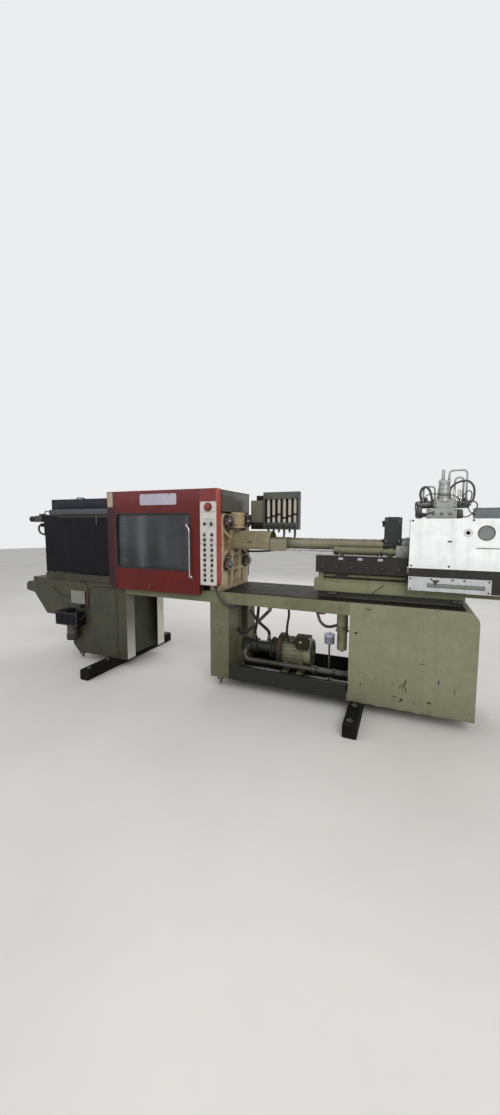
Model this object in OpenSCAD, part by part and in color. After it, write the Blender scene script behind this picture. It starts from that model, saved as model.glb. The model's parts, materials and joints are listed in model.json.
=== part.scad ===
// Horizontal injection moulding machine with a direct hydraulic clamp.
// X runs from the clamp end to the injection end, Y away from the operator, Z up.
// The origin is on the floor, under the middle of the machine.

/* [Overall] */
// Length of the lugs that stand out at the clamp end
nose_l = 120; // [60:5:240]
// Length of the clamp bed, with the left leg under it
clamp_bed_l = 1303; // [1200:1:1500]
// Open length between the left leg and the right leg
leg_gap = 946; // [850:1:1200]
// Width of the right leg
right_leg_w = 181; // [150:1:260]
// Open length of the motor bay
motor_bay_l = 1030; // [1000:1:1300]
// Length of the oil tank cabinet
cabinet_l = 860; // [780:1:1100]
// Length of the injection unit past the cabinet
tail_l = 460; // [400:1:700]
// Depth of the base, front to rear
base_d = 614; // [600:1:700]
// Height of the bed's top over the bottom of the base
base_h = 776; // [700:1:900]
// Height of the injection axis over the bed
axis_h = 424; // [415:1:480]

/* [Skids and feet] */
// Height of the skid beams
skid_h = 100; // [70:1:160]
// Width of the skid beams
skid_w = 100; // [70:1:160]
// Length of the skid beams
skid_l = 1326; // [1000:1:1600]
// Distance of the left skid's centre from the left leg's right face
skid_left_in = 208; // [100:1:400]
// Distance of the right skid's centre from the cabinet's left face
skid_right_in = 65; // [60:1:300]
// Radius of the levelling bolts
foot_bolt_r = 12; // [8:1:18]
// Length that the levelling bolts hang below the base
foot_drop = 60; // [30:1:68]

/* [Base] */
// Height of the long beams
beam_h = 100; // [80:1:140]
// Width of the beams' flanges
beam_flange = 100; // [98:1:140]
// Thickness of the frame plates
frame_t = 8; // [5:1:12]
// Thickness of the cover sheets
sheet_t = 3; // [2:0.5:5]
// Height of the clamp bed's underside over the base bottom
belly_h = 378; // [300:1:450]
// Depth of the upright end plate below the bed top
nose_drop = 167; // [120:1:260]
// Length over which the clamp bed's end slants inwards
nose_slant = 193; // [100:1:300]
// Width of the left leg
left_leg_w = 731; // [600:1:850]
// Chamfer at the left leg's outer foot
foot_chamfer = 80; // [40:1:120]
// Depth of the left leg's end flanges
leg_flange = 116; // [80:1:160]
// How far the left leg's end panel is set back
leg_recess = 72; // [40:1:120]
// How far the side sheet ends short of the left leg's right face
sheet_setback = 123; // [80:1:200]
// Radius of the side sheet's upper corner
sheet_corner_r = 130; // [60:1:200]
// Depth of the right leg's columns
column_d = 190; // [150:1:240]
// Thickness of the dark plate on the bed
bed_plate_t = 6; // [3:1:10]
// Height of the low side beams under the motor
low_beam_h = 125; // [90:5:160]
// Radius of the cabinet's upper end corner
cabinet_corner_r = 85; // [40:1:140]
// Thickness of the cabinet's sheet
cabinet_t = 4; // [3:1:8]

/* [Clamp unit] */
// Width of the platens
platen_w = 572; // [560:1:590]
// Height of the platens
platen_h = 520; // [500:1:560]
// Thickness of the platens
platen_t = 120; // [100:1:150]
// Depth of the pockets cast into the platens' backs
platen_pocket = 45; // [20:1:60]
// Distance of the fixed platen's rear face from the right leg's right face
platen_setback = 69; // [50:1:100]
// Open distance between the mould faces with the clamp open
daylight = 671; // [620:1:700]
// Stroke of the clamp
clamp_stroke = 400; // [300:10:420]
// Radius of the tie bars
tie_r = 30; // [24:1:34]
// Tie bar spacing across the machine
tie_pitch_y = 410; // [400:1:430]
// Tie bar spacing in height
tie_pitch_z = 380; // [370:1:390]
// Radial play of a sliding fit
slide_fit = 0.1; // [0.05:0.01:0.1]
// Play under a sliding shoe
shoe_gap = 0.3; // [0.3:0.1:0.6]
// Thickness of the hardened slideways
way_t = 14; // [8:1:25]
// Radius of the locating ring's seat
locating_r = 50; // [45:1:60]
// Depth of the locating ring's seat
locating_depth = 20; // [12:1:30]
// Radius of the hole behind the locating ring
sprue_r = 32; // [25:1:40]
// Mould bolt spacing across the machine
mould_pitch_y = 210; // [180:1:240]
// Mould bolt spacing in height
mould_pitch_z = 280; // [240:1:320]
// Radius of the mould bolt holes
mould_bolt_r = 7; // [5:0.5:9]
// Depth of the mould bolt holes
mould_bolt_depth = 35; // [25:1:45]
// Length of the box that holds the ejector
eject_box_l = 200; // [190:1:240]
// Stroke of the ejector
eject_stroke = 70; // [40:5:80]
// Radius of the ejector pins
eject_pin_r = 10; // [6:1:14]
// Distance of the ejector pins from the axis, both ways
eject_pitch = 60; // [50:1:80]
// Open length between the rear platen and the ejector box
ram_gap = 420; // [420:1:460]
// Radius of the clamp ram
ram_r = 80; // [60:1:85]
// Outer radius of the clamp cylinder
cylinder_r = 125; // [115:1:140]
// Length of the clamp cylinder
cylinder_l = 480; // [480:1:520]

/* [Clamp cover and guards] */
// Length of the clamp cover's upper box end behind its lower end
cover_step = 76; // [60:1:200]
// Height of the clamp cover's shoulder over the bed
cover_h = 685; // [600:1:720]
// Height of the sloping shoulder band
shoulder_h = 54; // [40:1:80]
// Height of the clamp cover's upper box
cover_box_h = 107; // [60:1:140]
// Gap between the clamp cover and the door track under it
cover_lift = 4; // [2:1:20]
// Thickness of the guards' sheet
guard_t = 3; // [2:0.5:4]
// Distance of the doors' face from the machine's middle
guard_y = 370; // [362:1:390]
// Height of the guards over the bed
guard_h = 895; // [850:1:950]
// How far the doors reach below the bed's top
door_drop = 35; // [10:1:60]
// Width of the sliding doors
door_w = 1020; // [950:1:1060]
// Depth of the doors' folded edges
door_fold = 35; // [20:1:36]
// Travel of the sliding doors
door_travel = 800; // [600:10:820]
// Radius of the doors' lower outer corner
door_corner_r = 90; // [30:1:140]
// Width of the window
window_w = 823; // [700:1:860]
// Height of the window
window_h = 502; // [400:1:560]
// Distance of the window from the door's free edge
window_in = 92; // [60:1:130]
// Distance of the window from the door's top
window_top = 214; // [150:1:260]
// How far the upper door tracks start short of the lower ones
track_in = 186; // [120:1:260]
// Height of the door tracks
track_h = 65; // [40:1:70]
// Depth of the door tracks
track_d = 40; // [30:1:40]
// Length of the door handle
handle_l = 454; // [300:1:520]

/* [Control column] */
// Width of the control column
column_w = 170; // [160:1:200]
// Width of the white control panel
panel_w = 157; // [150:1:158]
// Height of the white control panel
panel_h = 720; // [700:1:730]
// Thickness of the control panel
panel_t = 4; // [2:1:6]
// Height of the panel's lower edge over the bed
panel_lift = 63; // [50:1:100]
// Radius of a push button's cap
button_r = 11; // [8:0.5:13]
// Radius of a push button's stem
button_stem_r = 8; // [5:0.5:9]
// Travel of a push button
button_travel = 4; // [2:0.5:5]
// Spacing of the control rows
row_pitch = 43.8; // [40:0.1:45]
// Distance between the two control columns
control_pitch = 70; // [50:1:80]
// Radius of the emergency stop's mushroom head
estop_r = 30; // [20:1:32]
// Travel of the emergency stop
estop_travel = 6; // [3:1:7]

/* [Injection unit] */
// Distance from the fixed platen to the injection housing
barrel_l = 1449; // [1400:1:1500]
// Outer radius of the barrel
barrel_r = 45; // [40:1:48]
// Radius of the screw
screw_r = 17.9; // [14:0.1:20]
// Outer radius of the heater jacket
jacket_r = 50; // [49:1:60]
// Radius of the nozzle cover
nozzle_cover_r = 107; // [104:1:115]
// Length of the nozzle cover
nozzle_cover_l = 367; // [300:1:400]
// Length of the square cover behind the nozzle cover
zone_cover_l = 154; // [100:1:200]
// Radius of the carriage cylinder
pull_cylinder_r = 31; // [26:1:31]
// Radius of the carriage cylinder's rod
pull_rod_r = 8.5; // [6:0.5:12]
// Travel of the injection carriage
carriage_travel = 250; // [150:10:250]
// Stroke of the injection crosshead
injection_stroke = 150; // [100:10:160]
// Distance of the carriage base from the right leg
carriage_lead = 728; // [700:1:760]
// How far the carriage base ends short of the cabinet's right end
carriage_tail = 84; // [40:1:120]
// Radius of the carriage's slide rods
slide_rod_r = 20; // [14:1:22]
// Height of the carriage base
carriage_base_h = 101; // [80:1:110]
// Height of the dark rails under the carriage base
riser_h = 53; // [30:1:60]
// Width of the feed block
feed_w = 128; // [110:1:150]
// Depth of the feed block
feed_d = 120; // [110:1:150]
// Height of the feed block's top over the axis
feed_h = 225; // [180:1:260]
// Radius of the feed throat
throat_r = 30; // [20:1:34]
// Hopper bolt spacing along the machine
hopper_pitch_x = 96; // [86:1:100]
// Hopper bolt spacing across the machine
hopper_pitch_y = 88; // [84:1:96]
// Height of the injection cover's top over the axis
inj_cover_h = 212; // [205:1:240]
// Depth of the injection cover below the axis
inj_cover_drop = 137; // [120:1:145]

/* [Hydraulics] */
// Height of the motor axis over the bottom of the base
motor_h = 230; // [200:1:260]
// Radius of the motor body without fins
motor_r = 112; // [90:1:125]
// Length of the motor body
motor_l = 280; // [220:1:320]
// Height of the motor's fins
fin_h = 12; // [6:1:18]
// Radius of the bell housing's flange
bell_r = 148; // [130:1:160]
// Length of the bell housing
bell_l = 94; // [90:1:110]
// Radius of the pump body
pump_r = 68; // [50:1:80]
// Length of the pump body
pump_l = 290; // [260:1:300]
// Outer radius of the hydraulic hoses
hose_r = 13; // [8:1:16]

/* [Hidden] */
$fn = 48;

olive = [0.44, 0.45, 0.34];
shade_olive = [0.36, 0.37, 0.31];
cream = [0.60, 0.56, 0.42];
dark = [0.10, 0.10, 0.11];
steel = [0.62, 0.62, 0.60];
chrome = [0.80, 0.80, 0.80];
red = [0.52, 0.12, 0.11];
white = [0.88, 0.88, 0.86];

// Stations along the machine, from the clamp end to the injection end
overall_l = nose_l + clamp_bed_l + leg_gap + right_leg_w + motor_bay_l + cabinet_l + tail_l;
end_x0 = -overall_l / 2;
bed_x0 = end_x0 + nose_l;
left_leg_x1 = bed_x0 + clamp_bed_l;
left_leg_x0 = left_leg_x1 - left_leg_w;
right_leg_x0 = left_leg_x1 + leg_gap;
right_leg_x1 = right_leg_x0 + right_leg_w;
cabinet_x0 = right_leg_x1 + motor_bay_l;
cabinet_x1 = cabinet_x0 + cabinet_l;
end_x1 = cabinet_x1 + tail_l;
fixed_x1 = right_leg_x1 - platen_setback;
fixed_x0 = fixed_x1 - platen_t;
moving_x1 = fixed_x0 - daylight;
moving_x0 = moving_x1 - platen_t;
box_x0 = moving_x0 - eject_box_l;
rear_x1 = box_x0 - ram_gap;
rear_x0 = rear_x1 - platen_t;
cylinder_x0 = rear_x0 - cylinder_l;
column_x1 = fixed_x1 - 9;
column_x0 = column_x1 - column_w;
door_x1 = column_x0 - 3;
door_x0 = door_x1 - door_w;
housing_x0 = fixed_x1 + barrel_l;

// Heights
base_z = skid_h;
bed_z = base_z + base_h;
beam_z = bed_z - beam_h;
belly_z = base_z + belly_h;
nose_z = bed_z - nose_drop;
axis_z = bed_z + axis_h;
way_z = bed_z + way_t;
platen_z0 = axis_z - platen_h / 2;
platen_z1 = axis_z + platen_h / 2;
guard_z1 = bed_z + guard_h;
door_z0 = bed_z - door_drop;
track_z1 = bed_z + track_h;
cover_z0 = track_z1 + cover_lift;
cover_z1 = bed_z + cover_h;
shoulder_z1 = cover_z1 + shoulder_h;
cover_top_z = shoulder_z1 + cover_box_h;
riser_z0 = bed_z + bed_plate_t;
carriage_z0 = riser_z0 + riser_h;
carriage_z1 = carriage_z0 + carriage_base_h;
motor_z = base_z + motor_h;
rail_z = base_z + 50;

// Width of the turned-out lip at the cabinet's foot
cabinet_lip = 14;

// Distances from the machine's middle plane
outer_y = base_d / 2;
frame_y = outer_y - sheet_t;
platen_y = platen_w / 2;
track_y1 = -platen_y - 1;
track_y0 = track_y1 - track_d;
cover_y = outer_y - 7;
door_back_y = guard_y - door_fold;

// A block between two stations along each axis
module span(x, y, z) {
    translate([x[0], y[0], z[0]]) cube([x[1] - x[0], y[1] - y[0], z[1] - z[0]]);
}

// Round bars along each axis
module along_x(x, r) {
    translate([x[0], 0, 0]) rotate([0, 90, 0]) cylinder(r = r, h = x[1] - x[0]);
}

module along_y(y, r) {
    translate([0, y[0], 0]) rotate([-90, 0, 0]) cylinder(r = r, h = y[1] - y[0]);
}

module along_z(z, r) {
    translate([0, 0, z[0]]) cylinder(r = r, h = z[1] - z[0]);
}

// Outlines drawn in XZ, YZ or XY and given a thickness
module slab_y(y) {
    translate([0, y[1], 0]) rotate([90, 0, 0]) linear_extrude(y[1] - y[0]) children();
}

module slab_x(x) {
    translate([x[0], 0, 0]) rotate([90, 0, 90]) linear_extrude(x[1] - x[0]) children();
}

module slab_z(z) {
    translate([0, 0, z[0]]) linear_extrude(z[1] - z[0]) children();
}

// What lies outside a rounded corner whose tip is at the origin
module corner_cut(r) {
    translate([-r, -r]) difference() {
        square(r + 1);
        circle(r = r);
    }
}

// A rectangle with four round corners, from its low corner to its high corner
module round_rect(a, b, r) {
    translate([a[0] + r, a[1]]) square([b[0] - a[0] - 2 * r, b[1] - a[1]]);
    translate([a[0], a[1] + r]) square([b[0] - a[0], b[1] - a[1] - 2 * r]);
    for (x = [a[0] + r, b[0] - r], z = [a[1] + r, b[1] - r]) translate([x, z]) circle(r = r);
}

// The stretch of Y that a wall of thickness t takes on the front or rear side
function flank(side, y, t) = side < 0 ? [-y, t - y] : [y - t, y];

// A hose: rings swept along a smooth curve through hand-chosen points
function unit(v) = v / norm(v);
function blend(a, b, c, d, t) =
    0.5 * (2 * b + (c - a) * t + (2 * a - 5 * b + 4 * c - d) * t * t
        + (3 * b - a - 3 * c + d) * t * t * t);
function smooth(p, n) = concat(
    [for (i = [0 : len(p) - 2], j = [0 : n - 1])
        blend(p[max(i - 1, 0)], p[i], p[i + 1], p[min(i + 2, len(p) - 1)], j / n)],
    [p[len(p) - 1]]);

module hose(route, r, sides = 8, steps = 2) {
    path = smooth(route, steps);
    count = len(path);
    last = len(route) - 1;
    // The first and last stretch of the route are square to what the ends stand on
    function heading(i) = i == 0 ? unit(route[1] - route[0])
        : i == count - 1 ? unit(route[last] - route[last - 1])
        : unit(path[i + 1] - path[i - 1]);
    // A direction that no stretch of the route runs along
    side_ref = [0.31, 0.9, 0.17];
    rings = [for (i = [0 : count - 1])
        let (t = heading(i), n = unit(cross(side_ref, t)), b = cross(t, n))
        for (k = [0 : sides - 1])
            path[i] + r * (cos(360 * k / sides) * n + sin(360 * k / sides) * b)];
    walls = [for (i = [0 : count - 2], k = [0 : sides - 1])
        let (a = i * sides + k, b = i * sides + (k + 1) % sides)
        [a, a + sides, b + sides, b]];
    start_cap = [for (k = [0 : sides - 1]) k];
    end_cap = [for (k = [sides - 1 : -1 : 0]) (count - 1) * sides + k];
    polyhedron(points = rings, faces = concat(walls, [start_cap, end_cap]), convexity = 4);
}

module skid_beams() color(dark) {
    edge = 8;
    x_left = left_leg_x1 - skid_left_in;
    x_right = cabinet_x0 + skid_right_in;
    for (x = [x_left, x_right]) translate([x - skid_w / 2, 0, 0])
        slab_y([-skid_l / 2, skid_l / 2]) polygon([
            [edge, 0], [skid_w - edge, 0], [skid_w, edge], [skid_w, skid_h - edge],
            [skid_w - edge, skid_h], [edge, skid_h], [0, skid_h - edge], [0, edge]
        ]);
}

// Outline of the clamp bed and the left leg, seen from the front
module clamp_outline(x_end) {
    polygon([
        [bed_x0, bed_z], [bed_x0, nose_z], [bed_x0 + nose_slant, belly_z],
        [left_leg_x0, belly_z], [left_leg_x0, base_z + foot_chamfer],
        [left_leg_x0 + foot_chamfer, base_z], [x_end, base_z], [x_end, bed_z]
    ]);
}

module clamp_bed() color(shade_olive) {
    inner_y = [-frame_y, frame_y];
    top_t = 12;
    lug_h = 118;
    lug_w = 120;
    for (s = [-1, 1]) {
        slab_y(flank(s, frame_y, frame_t)) clamp_outline(left_leg_x1);
        span([left_leg_x1 - frame_t, left_leg_x1], flank(s, frame_y, leg_flange), [base_z, bed_z]);
        slab_y(flank(s, frame_y, lug_w)) polygon([
            [bed_x0, nose_z - 10], [bed_x0 - nose_l, nose_z + 12],
            [bed_x0 - nose_l, nose_z - 10 + lug_h - 30], [bed_x0 - nose_l + 30, nose_z - 10 + lug_h],
            [bed_x0, nose_z - 10 + lug_h]
        ]);
    }
    span([bed_x0, bed_x0 + frame_t], inner_y, [nose_z, bed_z]);
    slab_y(inner_y) polygon([
        [bed_x0, nose_z], [bed_x0 + nose_slant, belly_z],
        [bed_x0 + nose_slant + frame_t, belly_z], [bed_x0 + frame_t, nose_z]
    ]);
    span([bed_x0 + nose_slant, left_leg_x1 - leg_recess], inner_y, [belly_z, belly_z + frame_t]);
    span([left_leg_x0, left_leg_x0 + frame_t], inner_y, [base_z + foot_chamfer, belly_z]);
    span([left_leg_x1 - leg_recess - frame_t, left_leg_x1 - leg_recess], inner_y,
        [base_z, bed_z]);
    // Bulkhead under the rear platen, and the plates that close the box above and below
    span([rear_x0, rear_x0 + frame_t], inner_y, [belly_z, bed_z]);
    span([bed_x0, left_leg_x1], inner_y, [bed_z - top_t, bed_z]);
    slab_y(inner_y) polygon([
        [left_leg_x0, base_z + foot_chamfer], [left_leg_x0 + foot_chamfer, base_z],
        [left_leg_x1 - leg_recess, base_z], [left_leg_x1 - leg_recess, base_z + frame_t],
        [left_leg_x0 + foot_chamfer + 3, base_z + frame_t],
        [left_leg_x0 + frame_t, base_z + foot_chamfer + 3]
    ]);
}

module clamp_side_sheets() color(shade_olive) {
    x_end = left_leg_x1 - sheet_setback;
    for (s = [-1, 1]) slab_y(flank(s, outer_y, sheet_t)) difference() {
        clamp_outline(x_end);
        translate([x_end, bed_z]) corner_cut(sheet_corner_r);
    }
}

module right_leg() color(olive) {
    x = [right_leg_x0, right_leg_x1];
    z = [base_z, beam_z];
    web_h = 346;
    foot_t = 10;
    for (s = [-1, 1]) difference() {
        span(x, flank(s, outer_y, column_d), z);
        span([x[0] + frame_t, x[1] - frame_t],
            flank(s, outer_y - frame_t, column_d - 2 * frame_t), [base_z + foot_t, beam_z - frame_t]);
        // Two small holes near the top of the column's face
        for (drop = [120, 200]) translate([x[0] + 62, 0, beam_z - drop])
            along_y(flank(s, outer_y + 1, frame_t + 2), 5);
    }
    span([x[1] - 50, x[1] - 50 + frame_t], [column_d - outer_y, outer_y - column_d],
        [beam_z - web_h, beam_z]);
    span(x, [column_d - outer_y, outer_y - column_d], [base_z, base_z + foot_t]);
}

module bed_frame() color(olive) {
    x = [left_leg_x1, cabinet_x0];
    for (s = [-1, 1]) {
        span(x, flank(s, outer_y, frame_t), [beam_z, bed_z]);
        span(x, flank(s, outer_y, beam_flange), [bed_z - frame_t, bed_z]);
        span(x, flank(s, outer_y, beam_flange), [beam_z, beam_z + frame_t]);
    }
    for (at = [x[0], right_leg_x0, right_leg_x1 - frame_t, x[1] - frame_t])
        span([at, at + frame_t], [-outer_y, outer_y], [beam_z, bed_z]);
    // Low rails and cross bars that carry the motor
    rail_y = 105;
    for (s = [-1, 1])
        span([right_leg_x1, cabinet_x0 - cabinet_lip], flank(s, rail_y, 40), [base_z, rail_z]);
    for (at = motor_feet_x()) span([at - 30, at + 30], [-150, 150], [rail_z, rail_z + 12]);
    // Low side beams with the drip tray between them
    for (s = [-1, 1])
        span([right_leg_x1, cabinet_x0 - cabinet_lip], flank(s, outer_y, frame_t),
            [base_z, base_z + low_beam_h]);
    span([right_leg_x1, cabinet_x0 - cabinet_lip], [-outer_y, outer_y], [base_z, base_z + 4]);
}

module bed_plate() color(dark) {
    inset = 17;
    span([fixed_x1 + 2, cabinet_x1 - cabinet_corner_r], [inset - outer_y, outer_y - inset],
        [bed_z, bed_z + bed_plate_t]);
}

module cabinet_outline(t) {
    difference() {
        translate([cabinet_x0 + t, base_z + t])
            square([cabinet_l - 2 * t, bed_z - base_z - 2 * t]);
        translate([cabinet_x1 - t, bed_z - t]) corner_cut(cabinet_corner_r - t);
    }
}

module cabinet() color(olive) {
    difference() {
        slab_y([-outer_y, outer_y]) cabinet_outline(0);
        slab_y([cabinet_t - outer_y, outer_y - cabinet_t]) cabinet_outline(cabinet_t);
    }
    // Turned-out lip at the foot of the left side
    span([cabinet_x0 - cabinet_lip, cabinet_x0 + cabinet_t], [-outer_y, outer_y],
        [base_z, base_z + cabinet_t]);
}

module levelling_feet() color(steel) {
    pad_t = 22;
    half = 25;
    y = outer_y - 27;
    for (x = [left_leg_x0 + foot_chamfer + half, (right_leg_x0 + right_leg_x1) / 2], s = [-1, 1])
        translate([x, s * y, 0]) {
            along_z([base_z - foot_drop, base_z], foot_bolt_r);
            translate([-half, -half, base_z - pad_t]) cube([2 * half, 2 * half, pad_t]);
        }
}

// Slideways under the moving platen, and the shoes that run on them
way_y = [195, 255];

module slide_ways() color(steel) {
    for (s = [-1, 1])
        span([rear_x1 + 20, fixed_x0 - 10],
            [s < 0 ? -way_y[1] : way_y[0], s < 0 ? -way_y[0] : way_y[1]], [bed_z, way_z]);
}

module platen_face() {
    edge = 25;
    difference() {
        polygon([
            [-platen_y, platen_z0], [platen_y, platen_z0], [platen_y, platen_z1 - edge],
            [platen_y - edge, platen_z1], [edge - platen_y, platen_z1], [-platen_y, platen_z1 - edge]
        ]);
        tie_places() circle(r = tie_r + slide_fit);
    }
}

module tie_places() {
    for (y = [-0.5, 0.5], z = [-0.5, 0.5])
        translate([y * tie_pitch_y, axis_z + z * tie_pitch_z]) children();
}

module mould_bolt_places() {
    for (y = [-0.5, 0.5], z = [-0.5, 0.5])
        translate([0, y * mould_pitch_y, axis_z + z * mould_pitch_z]) children();
}

// Pockets between the tie bar bosses, open towards the platen's back
module platen_pockets(x) {
    boss = tie_r + 32;
    wall = 30;
    hub = 118;
    y_far = platen_y - wall;
    y_near = tie_pitch_y / 2 - boss;
    z_far = platen_h / 2 - wall;
    z_near = tie_pitch_z / 2 - boss;
    slab_x(x) translate([0, axis_z]) for (s = [-1, 1]) difference() {
        union() {
            translate([s > 0 ? hub : -y_far, -z_near]) square([y_far - hub, 2 * z_near]);
            translate([-y_near, s > 0 ? hub : -z_far]) square([2 * y_near, z_far - hub]);
        }
        circle(r = hub + 8);
    }
}

module platen_feet(x, z0) {
    foot_w = 120;
    for (s = [-1, 1]) span(x, flank(s, platen_y, foot_w), [z0, platen_z0]);
}

module stationary_platen() color(cream) {
    cone_r = 95;
    cone_l = 70;
    difference() {
        slab_x([fixed_x0, fixed_x1]) platen_face();
        platen_pockets([fixed_x1 - platen_pocket, fixed_x1 + 1]);
        translate([0, 0, axis_z]) {
            along_x([fixed_x0 - 1, fixed_x1 + 1], sprue_r);
            along_x([fixed_x0 - 1, fixed_x0 + locating_depth], locating_r);
            translate([fixed_x1 - cone_l, 0, 0]) rotate([0, 90, 0])
                cylinder(r1 = sprue_r, r2 = cone_r, h = cone_l + 0.1);
        }
        mould_bolt_places() along_x([fixed_x0 - 1, fixed_x0 + mould_bolt_depth], mould_bolt_r);
    }
    platen_feet([fixed_x0, fixed_x1], bed_z);
    // Foot plate, and ribs that run from it up through the lower pocket
    span([fixed_x0, fixed_x1], [-platen_y, platen_y], [bed_z, bed_z + 34]);
    for (s = [-1, 1]) {
        span([fixed_x0 + 20, fixed_x1], flank(s, 110, 56), [bed_z, platen_z0]);
        span([fixed_x1 - platen_pocket, fixed_x1], flank(s, 110, 56), [platen_z0, axis_z - 118]);
        // Slanting ribs across the side pockets
        for (side = [-1, 1]) slab_x([fixed_x1 - platen_pocket, fixed_x1]) translate([0, axis_z])
            polygon([
                [s * 118, side * 30], [s * 256, side * 104], [s * 256, side * 128], [s * 118, side * 54]
            ]);
    }
    // Lug for the nozzle cover's guard
    span([fixed_x1, fixed_x1 + 40], [-109, 109], [axis_z + 130, platen_z1 + 16]);
}

module rear_platen() color(shade_olive) {
    difference() {
        slab_x([rear_x0, rear_x1]) platen_face();
        platen_pockets([rear_x1 - platen_pocket, rear_x1 + 1]);
        translate([0, 0, axis_z]) along_x([rear_x0 - 1, rear_x1 + 1], ram_r + slide_fit);
    }
    platen_feet([rear_x0, rear_x1], bed_z);
}

module tie_bars() color(chrome) {
    nut_r = 54;
    nut_t = 48;
    tail = 12;
    for (y = [-0.5, 0.5], z = [-0.5, 0.5])
        translate([0, y * tie_pitch_y, axis_z + z * tie_pitch_z]) {
            along_x([rear_x0 - nut_t - tail, fixed_x1 + nut_t + tail], tie_r);
            along_x([rear_x0 - nut_t, rear_x0], nut_r, $fn = 6);
            along_x([fixed_x1, fixed_x1 + nut_t], nut_r, $fn = 6);
        }
}

piston_l = 30;
piston_rear = 15;
bore_r = ram_r + 10;
ram_tail_x = rear_x0 - clamp_stroke - piston_rear - piston_l;

valve_y = 64 - cover_y;

module clamp_cylinder() color(dark) {
    flange_t = 30;
    cap_t = 30;
    block = [60, 88, 148];
    block_z = axis_z + 101;
    coil_z = block_z + 114;
    coil_r = 31;
    translate([0, 0, axis_z]) difference() {
        union() {
            along_x([cylinder_x0, rear_x0], cylinder_r);
            along_x([rear_x0 - flange_t, rear_x0], cylinder_r + 30);
            along_x([cylinder_x0, cylinder_x0 + cap_t], cylinder_r + 15);
        }
        along_x([cylinder_x0 + cap_t, rear_x0 + 1], bore_r);
    }
    // Manifold across the end cap, and at its near end the valve that reaches out past the cover
    span([cylinder_x0 - block[0], cylinder_x0], [valve_y - block[1] / 2, 60], [block_z - 60, block_z]);
    translate([cylinder_x0 - block[0], valve_y - block[1] / 2, block_z]) cube(block);
    translate([0, valve_y, coil_z]) {
        along_x([cylinder_x0 - 236, cylinder_x0 - block[0]], coil_r);
        along_x([cylinder_x0 - 308, cylinder_x0 - 236], coil_r - 5);
        along_x([cylinder_x0 - 318, cylinder_x0 - 308], coil_r - 11, $fn = 6);
        translate([0, 0, -66]) along_x([cylinder_x0 - 150, cylinder_x0 - block[0]], 21);
    }
}

module cover_section(t, with_box) {
    step_y = 38;
    y = cover_y - t;
    z = with_box ? cover_top_z - t : cover_z1 - t;
    polygon(with_box ? [
        [-y, cover_z0 - 1], [-y, cover_z1 - t / 2], [step_y - y, shoulder_z1 - t / 2], [step_y - y, z],
        [y - step_y, z], [y - step_y, shoulder_z1 - t / 2], [y, cover_z1 - t / 2], [y, cover_z0 - 1]
    ] : [[-y, cover_z0 - 1], [-y, z], [y, z], [y, cover_z0 - 1]]);
}

cover_x0 = cylinder_x0 - 24;

module clamp_cover() color(dark) {
    x1 = door_x0 - 9;
    step_x = cover_x0 + cover_step;
    t = sheet_t;
    difference() {
        union() {
            slab_x([cover_x0, x1]) cover_section(0, false);
            slab_x([step_x, x1]) cover_section(0, true);
            // Breather block on the lower part of the roof
            span([step_x - 60, step_x + 4], [-230, -170], [cover_z1 - 1, cover_z1 + 50]);
        }
        slab_x([cover_x0 + t, x1 + 1]) cover_section(t, false);
        slab_x([step_x + t, x1 + 1]) cover_section(t, true);
        span([cover_x0 - 1, x1 + 1], [-cover_y - 1, cover_y + 1], [cover_z0 - 2, cover_z0]);
        // Window for the valve in the end wall
        span([cover_x0 - 1, cover_x0 + t + 1], [valve_y - 48, 64], [axis_z + 37, cover_z1 - 7]);
    }
    // Stays that stand on the bed behind the tracks
    for (x = [cover_x0 + t, x1 - 40], s = [-1, 1]) {
        span([x, x + 30], flank(s, -track_y1 - 1, 6), [bed_z, cover_z0 + 60]);
        span([x, x + 30], flank(s, cover_y - t, cover_y + track_y1), [cover_z0 + 8, cover_z0 + 60]);
    }
}

module door_tracks() color(shade_olive) {
    x0 = cover_x0 + 24;
    for (s = [-1, 1]) {
        y = s < 0 ? [track_y0, track_y1] : [-track_y1, -track_y0];
        top_y = s < 0 ? [track_y0, -cover_y] : [cover_y, -track_y0];
        span([x0, column_x0], y, [bed_z, track_z1]);
        span([x0 + track_in, column_x0], top_y, [cover_z1, shoulder_z1]);
        // Flange of the upper track, flat on the cover's side
        span([x0 + track_in, column_x0], flank(s, cover_y + 4, 4), [cover_z1 - 30, cover_z1]);
    }
}

module control_column() color(red) {
    t = 2;
    y = [-guard_y, -platen_y];
    z = [bed_z + 59, guard_z1];
    inset = 10;
    difference() {
        slab_y(y) difference() {
            translate([column_x0, z[0]]) square([column_w, z[1] - z[0]]);
            translate([column_x1, z[0]]) mirror([0, 1]) corner_cut(24);
        }
        span([column_x0 + t, column_x1 - t], [y[0] + t, y[1] - t], [z[0] + t + 24, z[1] - t]);
        span([panel_x0 + inset, panel_x0 + panel_w - inset], [y[0] - 1, y[0] + t + 1],
            [panel_z0 + 25 + inset, panel_z0 + panel_h - inset]);
    }
}

panel_x0 = column_x0 + 11;
panel_z0 = bed_z + panel_lift;
panel_front = -guard_y - panel_t;
panel_mid = panel_x0 + panel_w / 2;
row_z0 = panel_z0 + panel_h - 283;
estop_z = panel_z0 + panel_h - 46;
key_z = row_z0 + 93;
bezel_t = 6;
// Side and row of each push button; the other places hold pilot lamps
button_places = [[-1, 0], [1, 1], [1, 2], [1, 4], [1, 7], [1, 8]];
lamp_places = [[1, 0], [-1, 1], [-1, 2], [-1, 3], [1, 3], [-1, 4], [-1, 5], [1, 5], [-1, 6],
    [1, 6], [-1, 7], [-1, 8], [-1, 9], [1, 9]];

module at_control(place) {
    translate([panel_mid + place[0] * control_pitch / 2, 0, row_z0 - place[1] * row_pitch])
        children();
}

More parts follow.
